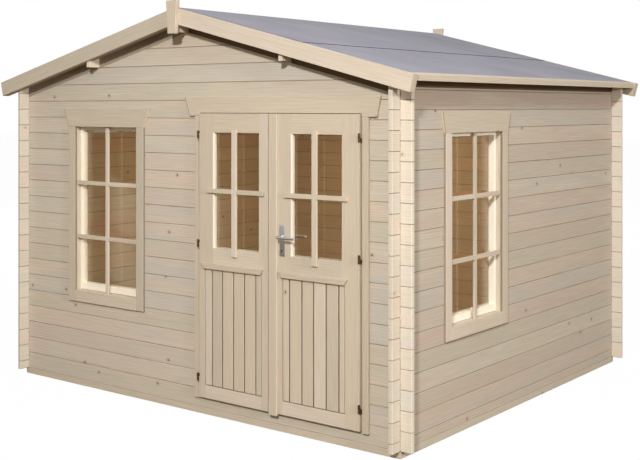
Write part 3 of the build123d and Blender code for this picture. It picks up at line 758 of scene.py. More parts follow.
eaves = new_piece()
for side in (-1, 1):
    profile = [(side * x, BASE + z) for x, z in EAVES_BOARD]
    add_board(eaves, "front", profile, -BATTEN_BACK, BATTEN_BACK, ease=1.0)
grain_along_ridge(eaves)
# Strips 2 mm thick on the side walls under the eaves, drawn dark: painted shadow of the overhang.
for side in (-1, 1):
    near, far = sorted((side * HALF_W, side * (HALF_W + SHADE_STRIP)))
    add_board(eaves, "front", box(near, far, *PAINTED_SHADOW_BAND), -IN_D, IN_D, ease=0.5, steps=1, painted_shade=1.55)
hand_over("eaves_trim_and_shade_strips", eaves, joinery_spruce, ["eaves_boards"], "cabin")


# %% Bargeboards, battens and finials
SHADE_STRIP_DROP = 152.0
TAIL_LOW = 1766.3
FINIAL_THICK = 30.0
FINIAL_FOOT, FINIAL_LOW = 33.5, BASE + 2359
FINIAL_HEAD, FINIAL_TOP = 47.5, BASE + 2570


def verge_outline(side, inner, top_drop, bottom_drop):
    """A board that follows the slope, its lower end sawn square."""
    low = ROOF_EDGE - (bottom_drop - top_drop) * SLOPE / (1 + SLOPE ** 2)
    return [
        (side * inner, roof_at(inner, top_drop)), (side * ROOF_EDGE, roof_at(ROOF_EDGE, top_drop)),
        (side * low, roof_at(low, bottom_drop)), (side * inner, roof_at(inner, bottom_drop)),
    ]


def slope_run(side, inner, outer, drop):
    """From the underside of the roof boards down to this drop, between two distances."""
    return [
        (side * inner, roof_at(inner)), (side * outer, roof_at(outer)),
        (side * outer, roof_at(outer, drop)), (side * inner, roof_at(inner, drop)),
    ]


for name, node, back in (
    ("front_bargeboard_pair", "front_bargeboards", VERGE_BACK),
    ("rear_bargeboard_pair", "rear_bargeboards", -VERGE),
):
    pair = new_piece()
    for side in (-1, 1):
        add_board(
            pair, "front", verge_outline(side, 0.5, 0, BARGE_WIDTH), back, back + BARGE_THICK,
            grain=(COS, -side * SIN), ease=2.0, tone=0.5 + 0.5 * side,
        )
    hand_over(name, pair, joinery_spruce, [node], "cabin")

for name, node, back, wall in (
    ("front_verge_timber_and_shade_strips", "front_verge_battens", BATTEN_BACK, HALF_D),
    ("rear_verge_timber_and_shade_strips", "rear_verge_battens", -VERGE_BACK, -HALF_D - SHADE_STRIP),
):
    battens = new_piece()
    middle_run = (PURLIN_HALF, PURLIN - PURLIN_HALF)
    for side in (-1, 1):
        grain = (COS, -side * SIN)
        # Strips 2 mm thick on the gable under each verge, drawn dark: painted shadow of the bargeboards,
        # darker on the right slope.
        for inner, outer in (middle_run, (PURLIN + PURLIN_HALF, HALF_W)):
            add_board(
                battens, "front", slope_run(side, inner, outer, SHADE_STRIP_DROP), wall, wall + SHADE_STRIP,
                grain=grain, ease=0.5, steps=1, painted_shade=1.15 + 0.4 * side,
            )
        # The battens are drawn darker: painted shade under the verge.
        for inner, outer in (middle_run, (PURLIN + PURLIN_HALF, IN_W)):
            outline = slope_run(side, inner, outer, BARGE_WIDTH)
            add_board(battens, "front", outline, back, back + BATTEN_THICK, grain=grain, painted_shade=1.0)
        tail = [(side * x, roof_at(x, drop)) for x, drop in (
            (HALF_W, UNDERSIDE), (EAVES, UNDERSIDE), (EAVES, 0), (ROOF_EDGE, 0),
            (TAIL_LOW, BARGE_WIDTH), (HALF_W, BARGE_WIDTH),
        )]
        add_board(battens, "front", tail, back, back + BATTEN_THICK, grain=grain)
    hand_over(name, battens, joinery_spruce, [node], "cabin")

for name, node, back in (
    ("front_finial_block", "front_finial", VERGE),
    ("rear_finial_block", "rear_finial", -VERGE - FINIAL_THICK),
):
    block = new_piece()
    outline = [
        (-FINIAL_FOOT, FINIAL_LOW), (FINIAL_FOOT, FINIAL_LOW),
        (FINIAL_HEAD, FINIAL_TOP), (-FINIAL_HEAD, FINIAL_TOP),
    ]
    add_board(block, "front", outline, back, back + FINIAL_THICK, grain=(0, 1), ease=3.0)
    hand_over(name, block, joinery_spruce, [node], "cabin")

# %% [markdown]
# ## Roofing felt
# The felt comes in metre-wide strips laid along the roof, each lapped over the one below, and the top
# one is folded over the ridge. A flat slab would look like painted board. A finely divided sheet that
# lies unevenly by about a millimetre, with the lap as a real step, catches the light as felt does.

# %% Felt strips
EDGE_BAND = 8.0
LAP = 1020.0 / COS
LAP_WIDTH = 70.0


def felt_height(along, down):
    """How far the felt stands off the boards at a place, in millimetres."""
    return (
        0.5 * math.sin(along / 170 + 1.3 * math.sin(down / 260))
        + 0.4 * math.sin(down / 120 + 2.1 * math.sin(along / 330))
    )


def felt_strip(piece, slope, first, last, lift, columns=60, rows=14):
    """One strip of felt, its lower edge turned down and dark where the bitumen shows."""
    start = len(piece["points"])
    runs = [first + (last - EDGE_BAND - first) * row / rows for row in range(rows + 1)]
    levels = [(first, True, 0.0)] + [(run, False, 0.0) for run in runs]
    levels += [(last, False, 1.0), (last, True, 1.0)]
    for down, tucked, dark in levels:
        for column in range(columns + 1):
            along = -VERGE_BACK + column * 2 * VERGE_BACK / columns
            depth = -FELT * COS if tucked else -1.2 + lift + felt_height(along, down)
            piece["points"].append(place(slope, along, down, depth))
            piece["seam"].append(dark)
    width = columns + 1
    for row in range(len(levels) - 1):
        for column in range(columns):
            corner = start + row * width + column
            piece["faces"].append([corner, corner + 1, corner + width + 1, corner + width])


felt_sheets = new_piece()
for slope in ("right_slope", "left_slope"):
    felt_strip(felt_sheets, slope, LAP - LAP_WIDTH, EAVES / COS, 0.0)
    felt_strip(felt_sheets, slope, 0.0, LAP, FELT)

# %% [markdown]
# Mineral felt is bitumen pressed full of crushed slate. The grains are about 1 mm, far too fine to show
# at this distance, so the speckle is drawn 6 mm wide, over slow changes of shade.

# %% Mineral felt
SPECKLE = 6 * MM
mineral_felt = blank("mineral_roofing_felt")
felt_at = add(mineral_felt, "ShaderNodeTexCoord").outputs["Object"]
specks = add(
    mineral_felt, "ShaderNodeTexNoise", {"Scale": 1 / SPECKLE, "Detail": 2.0}, {"Vector": felt_at}
).outputs["Fac"]
clouds = add(
    mineral_felt, "ShaderNodeTexNoise", {"Scale": 2.2, "Detail": 4.0}, {"Vector": felt_at}
).outputs["Fac"]
felt_shade = add(
    mineral_felt, "ShaderNodeValToRGB",
    {"stops": [(0.3, linear("#94929C")), (0.5, linear("#9B99A3")), (0.72, linear("#A3A1A9"))]},
    {"Fac": clouds},
).outputs["Color"]
speckled = add(
    mineral_felt, "ShaderNodeMix", {"data_type": "RGBA", "blend_type": "OVERLAY", 0: 0.22},
    {6: felt_shade, 7: specks},
).outputs[2]
bitumen = add(mineral_felt, "ShaderNodeAttribute", {"attribute_name": "seam"}).outputs["Fac"]
felt_colour = add(
    mineral_felt, "ShaderNodeMix", {"data_type": "RGBA", 7: linear("#4E4C58")}, {0: bitumen, 6: speckled}
).outputs[2]
felt_bump = add(mineral_felt, "ShaderNodeBump", {"Strength": 0.35, "Distance": 0.0006}, {"Height": specks})
felt_skin = add(
    mineral_felt, "ShaderNodeBsdfPrincipled", {"Roughness": 0.92, "Specular IOR Level": 0.2},
    {"Base Color": felt_colour, "Normal": felt_bump.outputs["Normal"]},
)
add(mineral_felt, "ShaderNodeOutputMaterial", links={"Surface": felt_skin.outputs["BSDF"]})
hand_over("felt_strips", felt_sheets, mineral_felt, ["roof_felt"], "cabin")


# %% [markdown]
# ## Windows
# Each window is a deep lined box in the wall. Boards cover the gap around it, the header flares upwards,
# the sash sits far back, and a lattice of bars is clipped in at the wall's face. Four boards with real
# joints show where one board meets the next, which a single ring can't. A header's left slanted end
# has a strip of painted shade, 5 mm wide, for the thin line of shadow there, and the casing's uprights
# have their edges darkened with painted shade. The sash, and a little the lining, are pale wood drawn
# paler as painted light on the reveals.

# %% One window from its boards
BOARD = 18.0
SHADE_LINE_WIDTH = 5.0
CASING = 70.0
CASING_FOOT = 79.0
HEADER_FOOT = 74.0
HEADER_RISE = 127.0
HEADER_TIP = {"front": 120.0, "side": 106.0}
LINING_DEPTHS = (-80, -0.5)
TRIM_GROWTH = 45.0
TRIM_WIDTH = 25.5
TRIM_DEPTHS = (-43, -28)
STILE = 23.0
LOW_RAIL = 45.0
TOP_RAIL = 24.0
SASH_DEPTHS = (-80, -31)
BEAD = 6.0
BEAD_DEPTHS = (-76, -69.5)
BAR_HALF = 14.0
BAR_LEVELS = (374.0, 748.0)
BAR_DEPTHS = (-15, 0)


def joinery(name, piece, node, body="cabin"):
    """Hand over a piece of joiner's work."""
    hand_over(name, piece, joinery_spruce, [node], body)


def ring(piece, face, edges, width, depths, ease=1.2, fresh=0.0):
    """Two uprights with a rail between them at the top and the bottom."""
    left, right, bottom, top = edges
    for near, far, low, high, grain in (
        (left, left + width, bottom, top, (0, 1)),
        (right - width, right, bottom, top, (0, 1)),
        (left + width, right - width, bottom, bottom + width, (1, 0)),
        (left + width, right - width, top - width, top, (1, 0)),
    ):
        add_board(piece, face, box(near, far, low, high), *depths, grain, ease, fresh=fresh)


def painted_shade_arris(piece, face, foot, top, front):
    """A strip of painted shade along the slanted end of a board."""
    strip = [foot, (foot[0] + SHADE_LINE_WIDTH, foot[1]), (top[0] + SHADE_LINE_WIDTH, top[1]), top]
    add_board(piece, face, strip, front - 2, front + 0.05, (0, 1), 0.0, painted_shade=0.85)


def build_window(side, face, window):
    """Casing, header, sash and bars of one window, four pieces of wood."""
    left, right, sill, head = opening(window)
    centre = window[0]
    casing = new_piece()
    foot = sill - CASING_FOOT
    # The uprights' side edges are darkened: painted shade along them.
    for near, far in ((left - CASING, left), (right, right + CASING)):
        add_board(casing, face, box(near, far, foot, head), 0, BOARD, (0, 1), 3.0, darkened_edges="u")
    add_board(casing, face, box(left, right, foot, sill), 0, BOARD, (1, 0), 2.0)
    # The lining is drawn a little paler: painted light on the reveals.
    ring(casing, face, grown(opening(window), LINING), LINING, LINING_DEPTHS, fresh=0.15)
    ring(casing, face, grown(opening(window), TRIM_GROWTH), TRIM_WIDTH, TRIM_DEPTHS, 1.5)
    joinery(f"{side}_window_boards", casing, f"{side}_window_frame")

    header = new_piece()
    tip, top = HEADER_TIP[side], head + HEADER_RISE
    outline = [
        (left - HEADER_FOOT, head), (right + HEADER_FOOT, head), (right + tip, top), (left - tip, top),
    ]
    add_board(header, face, outline, 0, BOARD, (1, 0), 2.5, tone=0.2)
    # Painted shade along the header's left slanted end.
    painted_shade_arris(header, face, outline[0], outline[3], BOARD)
    joinery(f"{side}_window_headboard", header, f"{side}_window_header")

    sash = new_piece()
    foot = sill + 2
    # The sash boards are drawn pale: painted light on the reveals.
    for near, far, low, high, grain in (
        (left, left + STILE, foot, head, (0, 1)),
        (right - STILE, right, foot, head, (0, 1)),
        (left + STILE, right - STILE, foot, sill + LOW_RAIL, (1, 0)),
        (left + STILE, right - STILE, head - TOP_RAIL, head, (1, 0)),
    ):
        add_board(sash, face, box(near, far, low, high), *SASH_DEPTHS, grain, 2.0, fresh=1.0)
    pane_edges = (left + STILE, right - STILE, sill + LOW_RAIL, head - TOP_RAIL)
    ring(sash, face, pane_edges, BEAD, BEAD_DEPTHS, 1.5)
    joinery(f"{side}_window_sash_boards", sash, f"{side}_window_sash")

    bars = new_piece()
    add_board(bars, face, box(centre - BAR_HALF, centre + BAR_HALF, sill, head), *BAR_DEPTHS, (0, 1), 2.0)
    for height in BAR_LEVELS:
        low, high = sill + height - BAR_HALF, sill + height + BAR_HALF
        for near, far in ((left, centre - BAR_HALF), (centre + BAR_HALF, right)):
            add_board(bars, face, box(near, far, low, high), *BAR_DEPTHS, (1, 0), 2.0)
    joinery(f"{side}_window_lattice", bars, f"{side}_window_bars")


build_window("front", "front_wall", FRONT_WINDOW)
build_window("side", "right_wall", SIDE_WINDOW)

# %% [markdown]
# ## Clear glass
# 4 mm float glass: IOR 1.52 and no roughness. The panes hardly reflect, so their specular level is low.
# A solid pane would shade the room inside far too much, because light paths that bend in glass are
# costly to find. So the pane lets shadow and diffuse rays straight through and keeps the glass shader
# for what the eye sees. The panes need no boards of their own, so they keep the solids of the model.

# %% Glass
clear_glass = blank("float_glass_4mm")
pane = add(
    clear_glass, "ShaderNodeBsdfPrincipled",
    {
        "Base Color": linear("#F4F6F4"), "Roughness": 0.0, "IOR": 1.52, "Specular IOR Level": 0.15,
        "Transmission Weight": 1.0,
    },
)
through = add(clear_glass, "ShaderNodeBsdfTransparent", {"Color": linear("#F4F7F5")})
ray = add(clear_glass, "ShaderNodeLightPath")
indirect = add(
    clear_glass, "ShaderNodeMath", {"operation": "MAXIMUM"},
    {0: ray.outputs["Is Shadow Ray"], 1: ray.outputs["Is Diffuse Ray"]},
)
mixed = add(
    clear_glass, "ShaderNodeMixShader",
    links={0: indirect.outputs[0], 1: pane.outputs["BSDF"], 2: through.outputs["BSDF"]},
)
add(clear_glass, "ShaderNodeOutputMaterial", links={"Surface": mixed.outputs["Shader"]})
for node in ("front_window_glass", "side_window_glass", "left_door_glass", "right_door_glass"):
    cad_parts[node].data.materials.clear()
    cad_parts[node].data.materials.append(clear_glass)
    print("glazed", node)

# %% [markdown]
# ## Door frame
# The jambs grip the ends of the logs: a board outside, a lining through the wall, a stop behind the
# leaves and a lip inside. The header is sawn with flared ends, and is stepped over the tops of the
# leaves, which stand proud of it.

# %% Jambs, head, header and threshold
DOOR_LEFT, DOOR_RIGHT = 131.0, 1387.0
DOOR_HEAD = BASE + 1863.0
CASING_LOW = BASE + 60.0
CASING_TOP = BASE + 1841.0
HEADER_FEET = (38.0, 1489.0)
HEADER_TIPS = (-2.0, 1516.0)
HEADER_TOP = BASE + 1960.0
THRESHOLD = BASE + 66.0
THRESHOLD_LAP = 18.0
JAMB = 28.0
STOP = 18.0
JAMB_BACK = -46
STOP_FRONT = -11

for name, node, side, edge, reveal in (
    ("left_jamb_boards", "left_door_jamb", 1, DOOR_LEFT, 12.0),
    ("right_jamb_boards", "right_door_jamb", -1, DOOR_RIGHT, 2.0),
):
    jamb = new_piece()
    outer, cut, stop = edge - side * (JAMB + STOP), edge - side * JAMB, edge + side * STOP
    for near, far, low, high, back, front, ease in (
        (outer, edge - side * reveal, CASING_LOW, CASING_TOP, 0, BOARD, 3.0),
        (cut, edge, THRESHOLD, DOOR_HEAD, JAMB_BACK, 0, 1.0),
        (edge, stop, THRESHOLD, DOOR_HEAD, JAMB_BACK, STOP_FRONT, 1.5),
        (outer, cut, THRESHOLD, DOOR_HEAD, JAMB_BACK, -THICK, 1.5),
    ):
        outline = box(min(near, far), max(near, far), low, high)
        add_board(jamb, "front_wall", outline, back, front, (0, 1), ease)
    joinery(name, jamb, node)

cut_left, cut_right = DOOR_CUT[0], DOOR_CUT[1]
head = new_piece()
add_board(head, "front_wall", box(cut_left, cut_right, DOOR_HEAD, DOOR_CUT[3]), JAMB_BACK, 0)
outline = box(DOOR_LEFT + STOP, DOOR_RIGHT - STOP, DOOR_HEAD - STOP, DOOR_HEAD)
add_board(head, "front_wall", outline, JAMB_BACK, STOP_FRONT)
joinery("door_head_boards", head, "door_head")

header = new_piece()
left_foot, right_foot = ((x, CASING_TOP) for x in HEADER_FEET)
left_tip, right_tip = ((x, HEADER_TOP) for x in HEADER_TIPS)
outline = [
    left_foot, (DOOR_LEFT, CASING_TOP), (DOOR_LEFT, DOOR_HEAD - 3), (DOOR_RIGHT, DOOR_HEAD - 3),
    (DOOR_RIGHT, CASING_TOP), right_foot, right_tip, left_tip,
]
add_board(header, "front_wall", outline, 0, BOARD, ease=2.5)
# Painted shade along the header's left slanted end.
painted_shade_arris(header, "front_wall", left_foot, left_tip, BOARD)
joinery("door_headboard", header, "door_header_board")

threshold = new_piece()
for left, right, back, front in (
    (cut_left, cut_right, -THICK, 0),
    (cut_left - THRESHOLD_LAP, cut_right + THRESHOLD_LAP, -70, -THICK),
):
    add_board(threshold, "front_wall", box(left, right, level(0.5), THRESHOLD), back, front, ease=2.0)
joinery("door_sill_board", threshold, "door_threshold")

# %% [markdown]
# ## Door leaves
# Each leaf is framed and boarded: stiles, rails, upright boards with a V between them, a pane in beads,
# planted cross bars, and a flared weather bar that throws rain off. The handle's leaf also has the strip
# that closes the gap. They are built from the boards a joiner would cut. Behind the upright boards lies
# a dark sheet of painted shade, which stands for the shade on the tongues at the bottom of each V. A pale
# strip in the reveal on the left of each pane is painted light, and the slanted ends of the door header
# and the weather bar carry strips of painted shade.

# %% One leaf from its boards
PROUD = 31.0
LEAF_BACK = PROUD - 36.0
LEAF_LOW = BASE + 72.0
LEAF_HIGH = BASE + 1857.0
PANEL_LOW = BASE + 152.0
PANEL_HIGH = BASE + 900.0
PANE_LOW = BASE + 1017.0
PANE_HIGH = BASE + 1738.0
V_HALF = 2.8
SHADE_SHEET_INSET = 12.0
PLANTED = 15.0
PLANTED_HALF = 19.0
PLANTED_REACH = 43.0
UPRIGHT_LEVELS = (BASE + 974, BASE + 1757)
CROSS_LEVELS = (BASE + 1361, BASE + 1389)
WEATHER_LEVELS = (BASE + 879, BASE + 918)
WEATHER_LIP = 8.0


def leaf_boards(side, edges, pane_edges, joints):
    """Stiles, rails, upright boards and beads of one leaf."""
    left, right = edges
    near_pane, far_pane = pane_edges
    leaf = new_piece()
    thick = (LEAF_BACK, PROUD)
    near_stile = [
        (left, LEAF_LOW), (joints[0], LEAF_LOW), (joints[0], PANEL_HIGH), (near_pane, PANEL_HIGH),
        (near_pane, LEAF_HIGH), (left, LEAF_HIGH),
    ]
    far_stile = [
        (right, LEAF_LOW), (right, LEAF_HIGH), (far_pane, LEAF_HIGH), (far_pane, PANEL_HIGH),
        (joints[-1], PANEL_HIGH), (joints[-1], LEAF_LOW),
    ]
    for outline in (near_stile, far_stile):
        add_board(leaf, "front_wall", outline, *thick, (0, 1), 0.9)
    for low, high, near, far in (
        (LEAF_LOW, PANEL_LOW, joints[0], joints[-1]),
        (PANEL_HIGH, PANE_LOW, near_pane, far_pane),
        (PANE_HIGH, LEAF_HIGH, near_pane, far_pane),
    ):
        add_board(leaf, "front_wall", box(near, far, low, high), *thick, (1, 0), 0.9)
    # The edges at each V are darkened, for dust and painted shade in the groove.
    for near, far in zip(joints[:-1], joints[1:]):
        outline = box(near + V_HALF, far - V_HALF, PANEL_LOW + V_HALF, PANEL_HIGH)
        add_board(leaf, "front_wall", outline, *thick, (0, 1), 4.0, 1, darkened_edges="uv")
    # A dark sheet behind the gaps between the boards: painted shade.
    shade_sheet = box(joints[0], joints[-1], PANEL_LOW, PANEL_HIGH)
    add_board(
        leaf, "front_wall", shade_sheet, LEAF_BACK + SHADE_SHEET_INSET, PROUD - SHADE_SHEET_INSET, (0, 1), 0.0, painted_shade=1.5
    )
    ring(leaf, "front_wall", (near_pane, far_pane, PANE_LOW, PANE_HIGH), BEAD, (-4.0, 1.5), 1.5)
    # Thin reveal boards at the pane, drawn pale: painted light, widest on the left where the light falls.
    for near, far in ((near_pane - 0.4, near_pane + 9.0), (far_pane - 0.6, far_pane + 0.4)):
        reveal = box(near, far, PANE_LOW, PANE_HIGH)
        add_board(leaf, "front_wall", reveal, 1.5, PROUD - 1.5, (0, 1), 0.2, fresh=1.0)
    joinery(f"{side}_leaf_boards", leaf, f"{side}_door_leaf", f"{side}_door")


def leaf_trim(side, pane_edges, centre, top_edges, foot_edges):
    """The planted bars over the pane and the flared weather bar below it."""
    trim = new_piece()
    planted = (PROUD, PROUD + PLANTED)
    left, right = centre - PLANTED_HALF, centre + PLANTED_HALF
    add_board(trim, "front_wall", box(left, right, *UPRIGHT_LEVELS), *planted, (0, 1), 2.5)
    for near, far in ((pane_edges[0] - PLANTED_REACH, left), (right, pane_edges[1] + PLANTED_REACH)):
        add_board(trim, "front_wall", box(near, far, *CROSS_LEVELS), *planted, (1, 0), 2.5)
    low, high = WEATHER_LEVELS
    flare = (high - low - WEATHER_LIP) / (high - low)
    tops = [(x, high) for x in top_edges]
    feet = [(x, low) for x in foot_edges]
    lips = [(top + (foot - top) * flare, low + WEATHER_LIP) for top, foot in zip(top_edges, foot_edges)]
    front = PROUD + BOARD
    add_board(
        trim, "front_wall", [*feet, tops[1], tops[0]], PROUD, front, (1, 0), 1.5,
        front_outline=[*lips, tops[1], tops[0]],
    )
    # Painted shade along the weather bar's slanted end.
    painted_shade_arris(trim, "front_wall", lips[0], tops[0], front)
    joinery(f"{side}_leaf_trim", trim, f"{side}_door_trim", f"{side}_door")


for side, edges, pane_edges, joints, centre, top_edges, foot_edges in (
    (
        "left", (137.0, 707.0), (255.0, 635.0), (190, 248, 335, 427, 517, 608, 658),
        442.0, (160, 673), (198, 649),
    ),
    (
        "right", (724.0, 1381.0), (883.0, 1258.0), (819, 872, 965, 1052, 1144, 1235, 1280),
        1068.0, (801, 1305), (826, 1278),
    ),
):
    leaf_boards(side, edges, pane_edges, joints)
    leaf_trim(side, pane_edges, centre, top_edges, foot_edges)

STRIP_LEFT, STRIP_RIGHT = 724, 785
strip = new_piece()
outline = box(STRIP_LEFT, STRIP_RIGHT, CASING_LOW, LEAF_HIGH)
add_board(strip, "front_wall", outline, PROUD, PROUD + PLANTED, (0, 1), 3.0)
joinery("closing_strip_board", strip, "closing_strip", "right_door")


# %% [markdown]
# ## Hinges and handle
# The hinges are steel barrels with a bronze finish, turned in two halves with a thin washer line between.
# The handle has a pressed plate on each face and a lever that bends out and along. Round parts are spun
# or swept from a short profile, as they would be turned or drawn. A flat metal part is a board that
# leaves its grain behind.

# %% Round and flat metal parts
UP = Vector((0, 0, 1))
RIGHT = Vector((1, 0, 0))
BACK = Vector((0, 1, 0))


def close_tube(piece, start, rings, turns):
    """The faces between rings of points, from this first point on, and a cap on each end."""
    for row in range(rings - 1):
        for step in range(turns):
            here = start + row * turns + step
            there = start + row * turns + (step + 1) % turns
            piece["faces"].append([here, there, there + turns, here + turns])
    last = start + (rings - 1) * turns
    piece["faces"].append([start + step for step in reversed(range(turns))])
    piece["faces"].append([last + step for step in range(turns)])


def spin(piece, centre, axis, profile, turns=24):
    """A turned part: (radius, height) steps around an axis."""
    side = axis.cross(RIGHT)
    start = len(piece["points"])
    for radius, height in profile:
        for step in range(turns):
            angle = 2 * math.pi * step / turns
            offset = RIGHT * math.cos(angle) * radius + side * math.sin(angle) * radius + axis * height
            piece["points"].append((centre + offset) * MM)
    close_tube(piece, start, len(profile), turns)


def sweep(piece, path, sizes, up, sides=16):
    """A drawn bar: an oval of (width, height) carried along a path."""
    start = len(piece["points"])
    for at, (centre, (width, height)) in enumerate(zip(path, sizes)):
        ahead = path[min(at + 1, len(path) - 1)] - path[max(at - 1, 0)]
        across = ahead.normalized().cross(up).normalized()
        rise = across.cross(ahead.normalized())
        for step in range(sides):
            angle = 2 * math.pi * step / sides
            offset = across * math.cos(angle) * width / 2 + rise * math.sin(angle) * height / 2
            piece["points"].append((centre + offset) * MM)
    close_tube(piece, start, len(path), sides)


def add_flat(piece, face, outline, back, front, ease, steps=1):
    """A flat part of metal, from one depth to another."""
    flat = new_piece()
    add_board(flat, face, outline, back, front, ease=ease, steps=steps)
    base = len(piece["points"])
    piece["points"] += flat["points"]
    piece["faces"] += [[base + index for index in corners] for corners in flat["faces"]]


# %% [markdown]
# Satin steel for the handle is brushed stainless: metallic 1, roughness about 0.35. The hinges' bronze
# finish is a thin passivated layer, darker and duller. Both get faint brushing drawn 2 mm wide.

# %% Metals
def worked_metal(name, colour, dark, roughness):
    """Metal with a faint brushed variation of shade."""
    material = blank(name)
    at = add(material, "ShaderNodeTexCoord").outputs["Object"]
    stretched = add(material, "ShaderNodeMapping", {"Scale": (60.0, 500.0, 500.0)}, {"Vector": at})
    brushing = add(
        material, "ShaderNodeTexNoise", {"Scale": 1.0, "Detail": 3.0},
        {"Vector": stretched.outputs["Vector"]},
    ).outputs["Fac"]
    shade = add(
        material, "ShaderNodeValToRGB", {"stops": [(0.3, linear(dark)), (0.7, linear(colour))]},
        {"Fac": brushing},
    ).outputs["Color"]
    gloss = add(
        material, "ShaderNodeMapRange", {"To Min": roughness - 0.06, "To Max": roughness + 0.08},
        {"Value": brushing},
    )
    skin = add(
        material, "ShaderNodeBsdfPrincipled", {"Metallic": 1.0},
        {"Base Color": shade, "Roughness": gloss.outputs["Result"]},
    )
    add(material, "ShaderNodeOutputMaterial", links={"Surface": skin.outputs["BSDF"]})
    return material


satin_steel = worked_metal("brushed_stainless_steel", "#C9C9C8", "#A9A9A9", 0.36)
bronze_steel = worked_metal("bronze_passivated_steel", "#6E5534", "#4B3A24", 0.45)
# The keyway is a near-black disc and slot: painted shade for the hole in the lock.
painted_keyway_shade = blank("shadowed_keyway")
gap_skin = add(painted_keyway_shade, "ShaderNodeBsdfPrincipled", {"Base Color": linear("#15120F"), "Roughness": 0.8})
add(painted_keyway_shade, "ShaderNodeOutputMaterial", links={"Surface": gap_skin.outputs["BSDF"]})

# %% Hinges
LEAF_FACE = -HALF_D - PROUD
HINGE_Y = LEAF_FACE - 8.0
HINGE_LEVELS = (BASE + 200.0, BASE + 1040.0, BASE + 1725.0)
LEFT_PIN, RIGHT_PIN = 134.0, 1384.0
ARM_LOW, ARM_HIGH = 3.0, 20.5
knuckle = [(5.6, 0.0), (6.8, 1.2), (6.9, ARM_LOW), (6.9, ARM_HIGH), (6.8, 22.3), (5.6, 23.5)]

for name, hinge_x, lift, reach, back_y, body in (
    ("left_leaf_hinges", LEFT_PIN, 0.5, 8.0, LEAF_FACE, "left_door"),
    ("right_leaf_hinges", RIGHT_PIN, 0.5, -8.0, LEAF_FACE, "right_door"),
    ("left_frame_hinges", LEFT_PIN, -24.0, -8.0, -HALF_D - BOARD, "cabin"),
    ("right_frame_hinges", RIGHT_PIN, -24.0, 8.0, -HALF_D - BOARD, "cabin"),
):
    hinges = new_piece()
    near, far = sorted((hinge_x + reach * 0.1, hinge_x + reach))
    arm = box(near, far, HINGE_Y, back_y)
    for height in HINGE_LEVELS:
        spin(hinges, Vector((hinge_x, HINGE_Y, height + lift)), UP, knuckle)
        add_flat(hinges, "plan", arm, height + lift + ARM_LOW, height + lift + ARM_HIGH, 0.6)
    hand_over(f"{name}_turned", hinges, bronze_steel, [name], body, smooth=True)

# %% Plates, screws and keyway
LEVER = Vector((815.0, 0, BASE + 1126.0))
PLATE = box(798.5, 838.5, BASE + 1011.5, BASE + 1197.5)
PLATE_THICK = 3.0
SCREW_X = 818.5
SCREW_LEVELS = (BASE + 1024.0, BASE + 1185.0)
KEY_LEVEL = BASE + 1046.0
KEY_SLOT = box(812.6, 817.4, BASE + 1031.0, KEY_LEVEL)
screw_head = [(4.5, -1), (4.5, 0.5), (3.2, 1.3), (1.0, 1.4)]
lever_boss = [(15.0, -1), (15.0, 1.6), (13.4, 3.0), (10.5, 3.2)]
handle_faces = ((LEAF_FACE - PLATE_THICK, -BACK), (-HALF_D - LEAF_BACK + PLATE_THICK, BACK))

plates = new_piece()
for back, front in ((PROUD, PROUD + PLATE_THICK), (LEAF_BACK - PLATE_THICK, LEAF_BACK)):
    add_flat(plates, "front_wall", PLATE, back, front, 1.2, 3)
for face_y, out in handle_faces:
    for height in SCREW_LEVELS:
        spin(plates, Vector((SCREW_X, face_y, height)), out, screw_head)
    spin(plates, Vector((LEVER.x, face_y, LEVER.z)), out, lever_boss)
hand_over(
    "handle_plate_pair", plates, satin_steel, ["handle_plates"], "right_door", smooth=True
)

keyways = new_piece()
for face_y, out in handle_faces:
    spin(keyways, Vector((LEVER.x, face_y, KEY_LEVEL)), out, [(5.0, -0.5), (5.0, 0.25)])
for back, front in ((PROUD + 2.5, PROUD + 3.25), (LEAF_BACK - 3.25, LEAF_BACK - 2.5)):
    add_flat(keyways, "front_wall", KEY_SLOT, back, front, 0.0)
hand_over("keyways", keyways, painted_keyway_shade, [], "right_door")

# %% Lever
NECK = 34
BEND = 13
GRIP_HEIGHT = 17.0

levers = new_piece()
for face_y, out in handle_faces:
    neck = LEVER + Vector((0, face_y, 0))
    path = [neck + out * 0.6, neck + out * 20, neck + out * NECK]
    sizes = [(17.5, 17.5), (17.0, 17.0), (16.5, 16.5)]
    for step in range(1, 6):
        angle = step * math.pi / 10
        turned = RIGHT * (BEND - BEND * math.cos(angle))
        path.append(neck + out * (NECK + BEND * math.sin(angle)) + turned)
        sizes.append((15.5, GRIP_HEIGHT))
    for reach, dip, width, height in (
        (40, 0.0, 13.0, GRIP_HEIGHT), (70, 0.0, 12.0, GRIP_HEIGHT), (100, 0.6, 12.0, GRIP_HEIGHT),
        (118, 1.2, 12.0, GRIP_HEIGHT), (126, 1.6, 9.0, 13.0),
    ):
        path.append(neck + out * (NECK + BEND - dip) + RIGHT * reach)
        sizes.append((width, height))
    sweep(levers, path, sizes, UP)
hand_over("lever_pair", levers, satin_steel, ["door_lever"], "lever", smooth=True)

# %% [markdown]
# ## Floor and sky
# A plain pale floor lies under the cabin, and the sky behind is white. What the camera sees of them is
# kept apart from the light that they give, by the kind of ray. To the eye the sky is white, and the
# floor is white with a trace of the cabin's shadow. For the light on the cabin, the floor is a dull
# brown ground and the sky a soft light that is stronger overhead.
# upright.

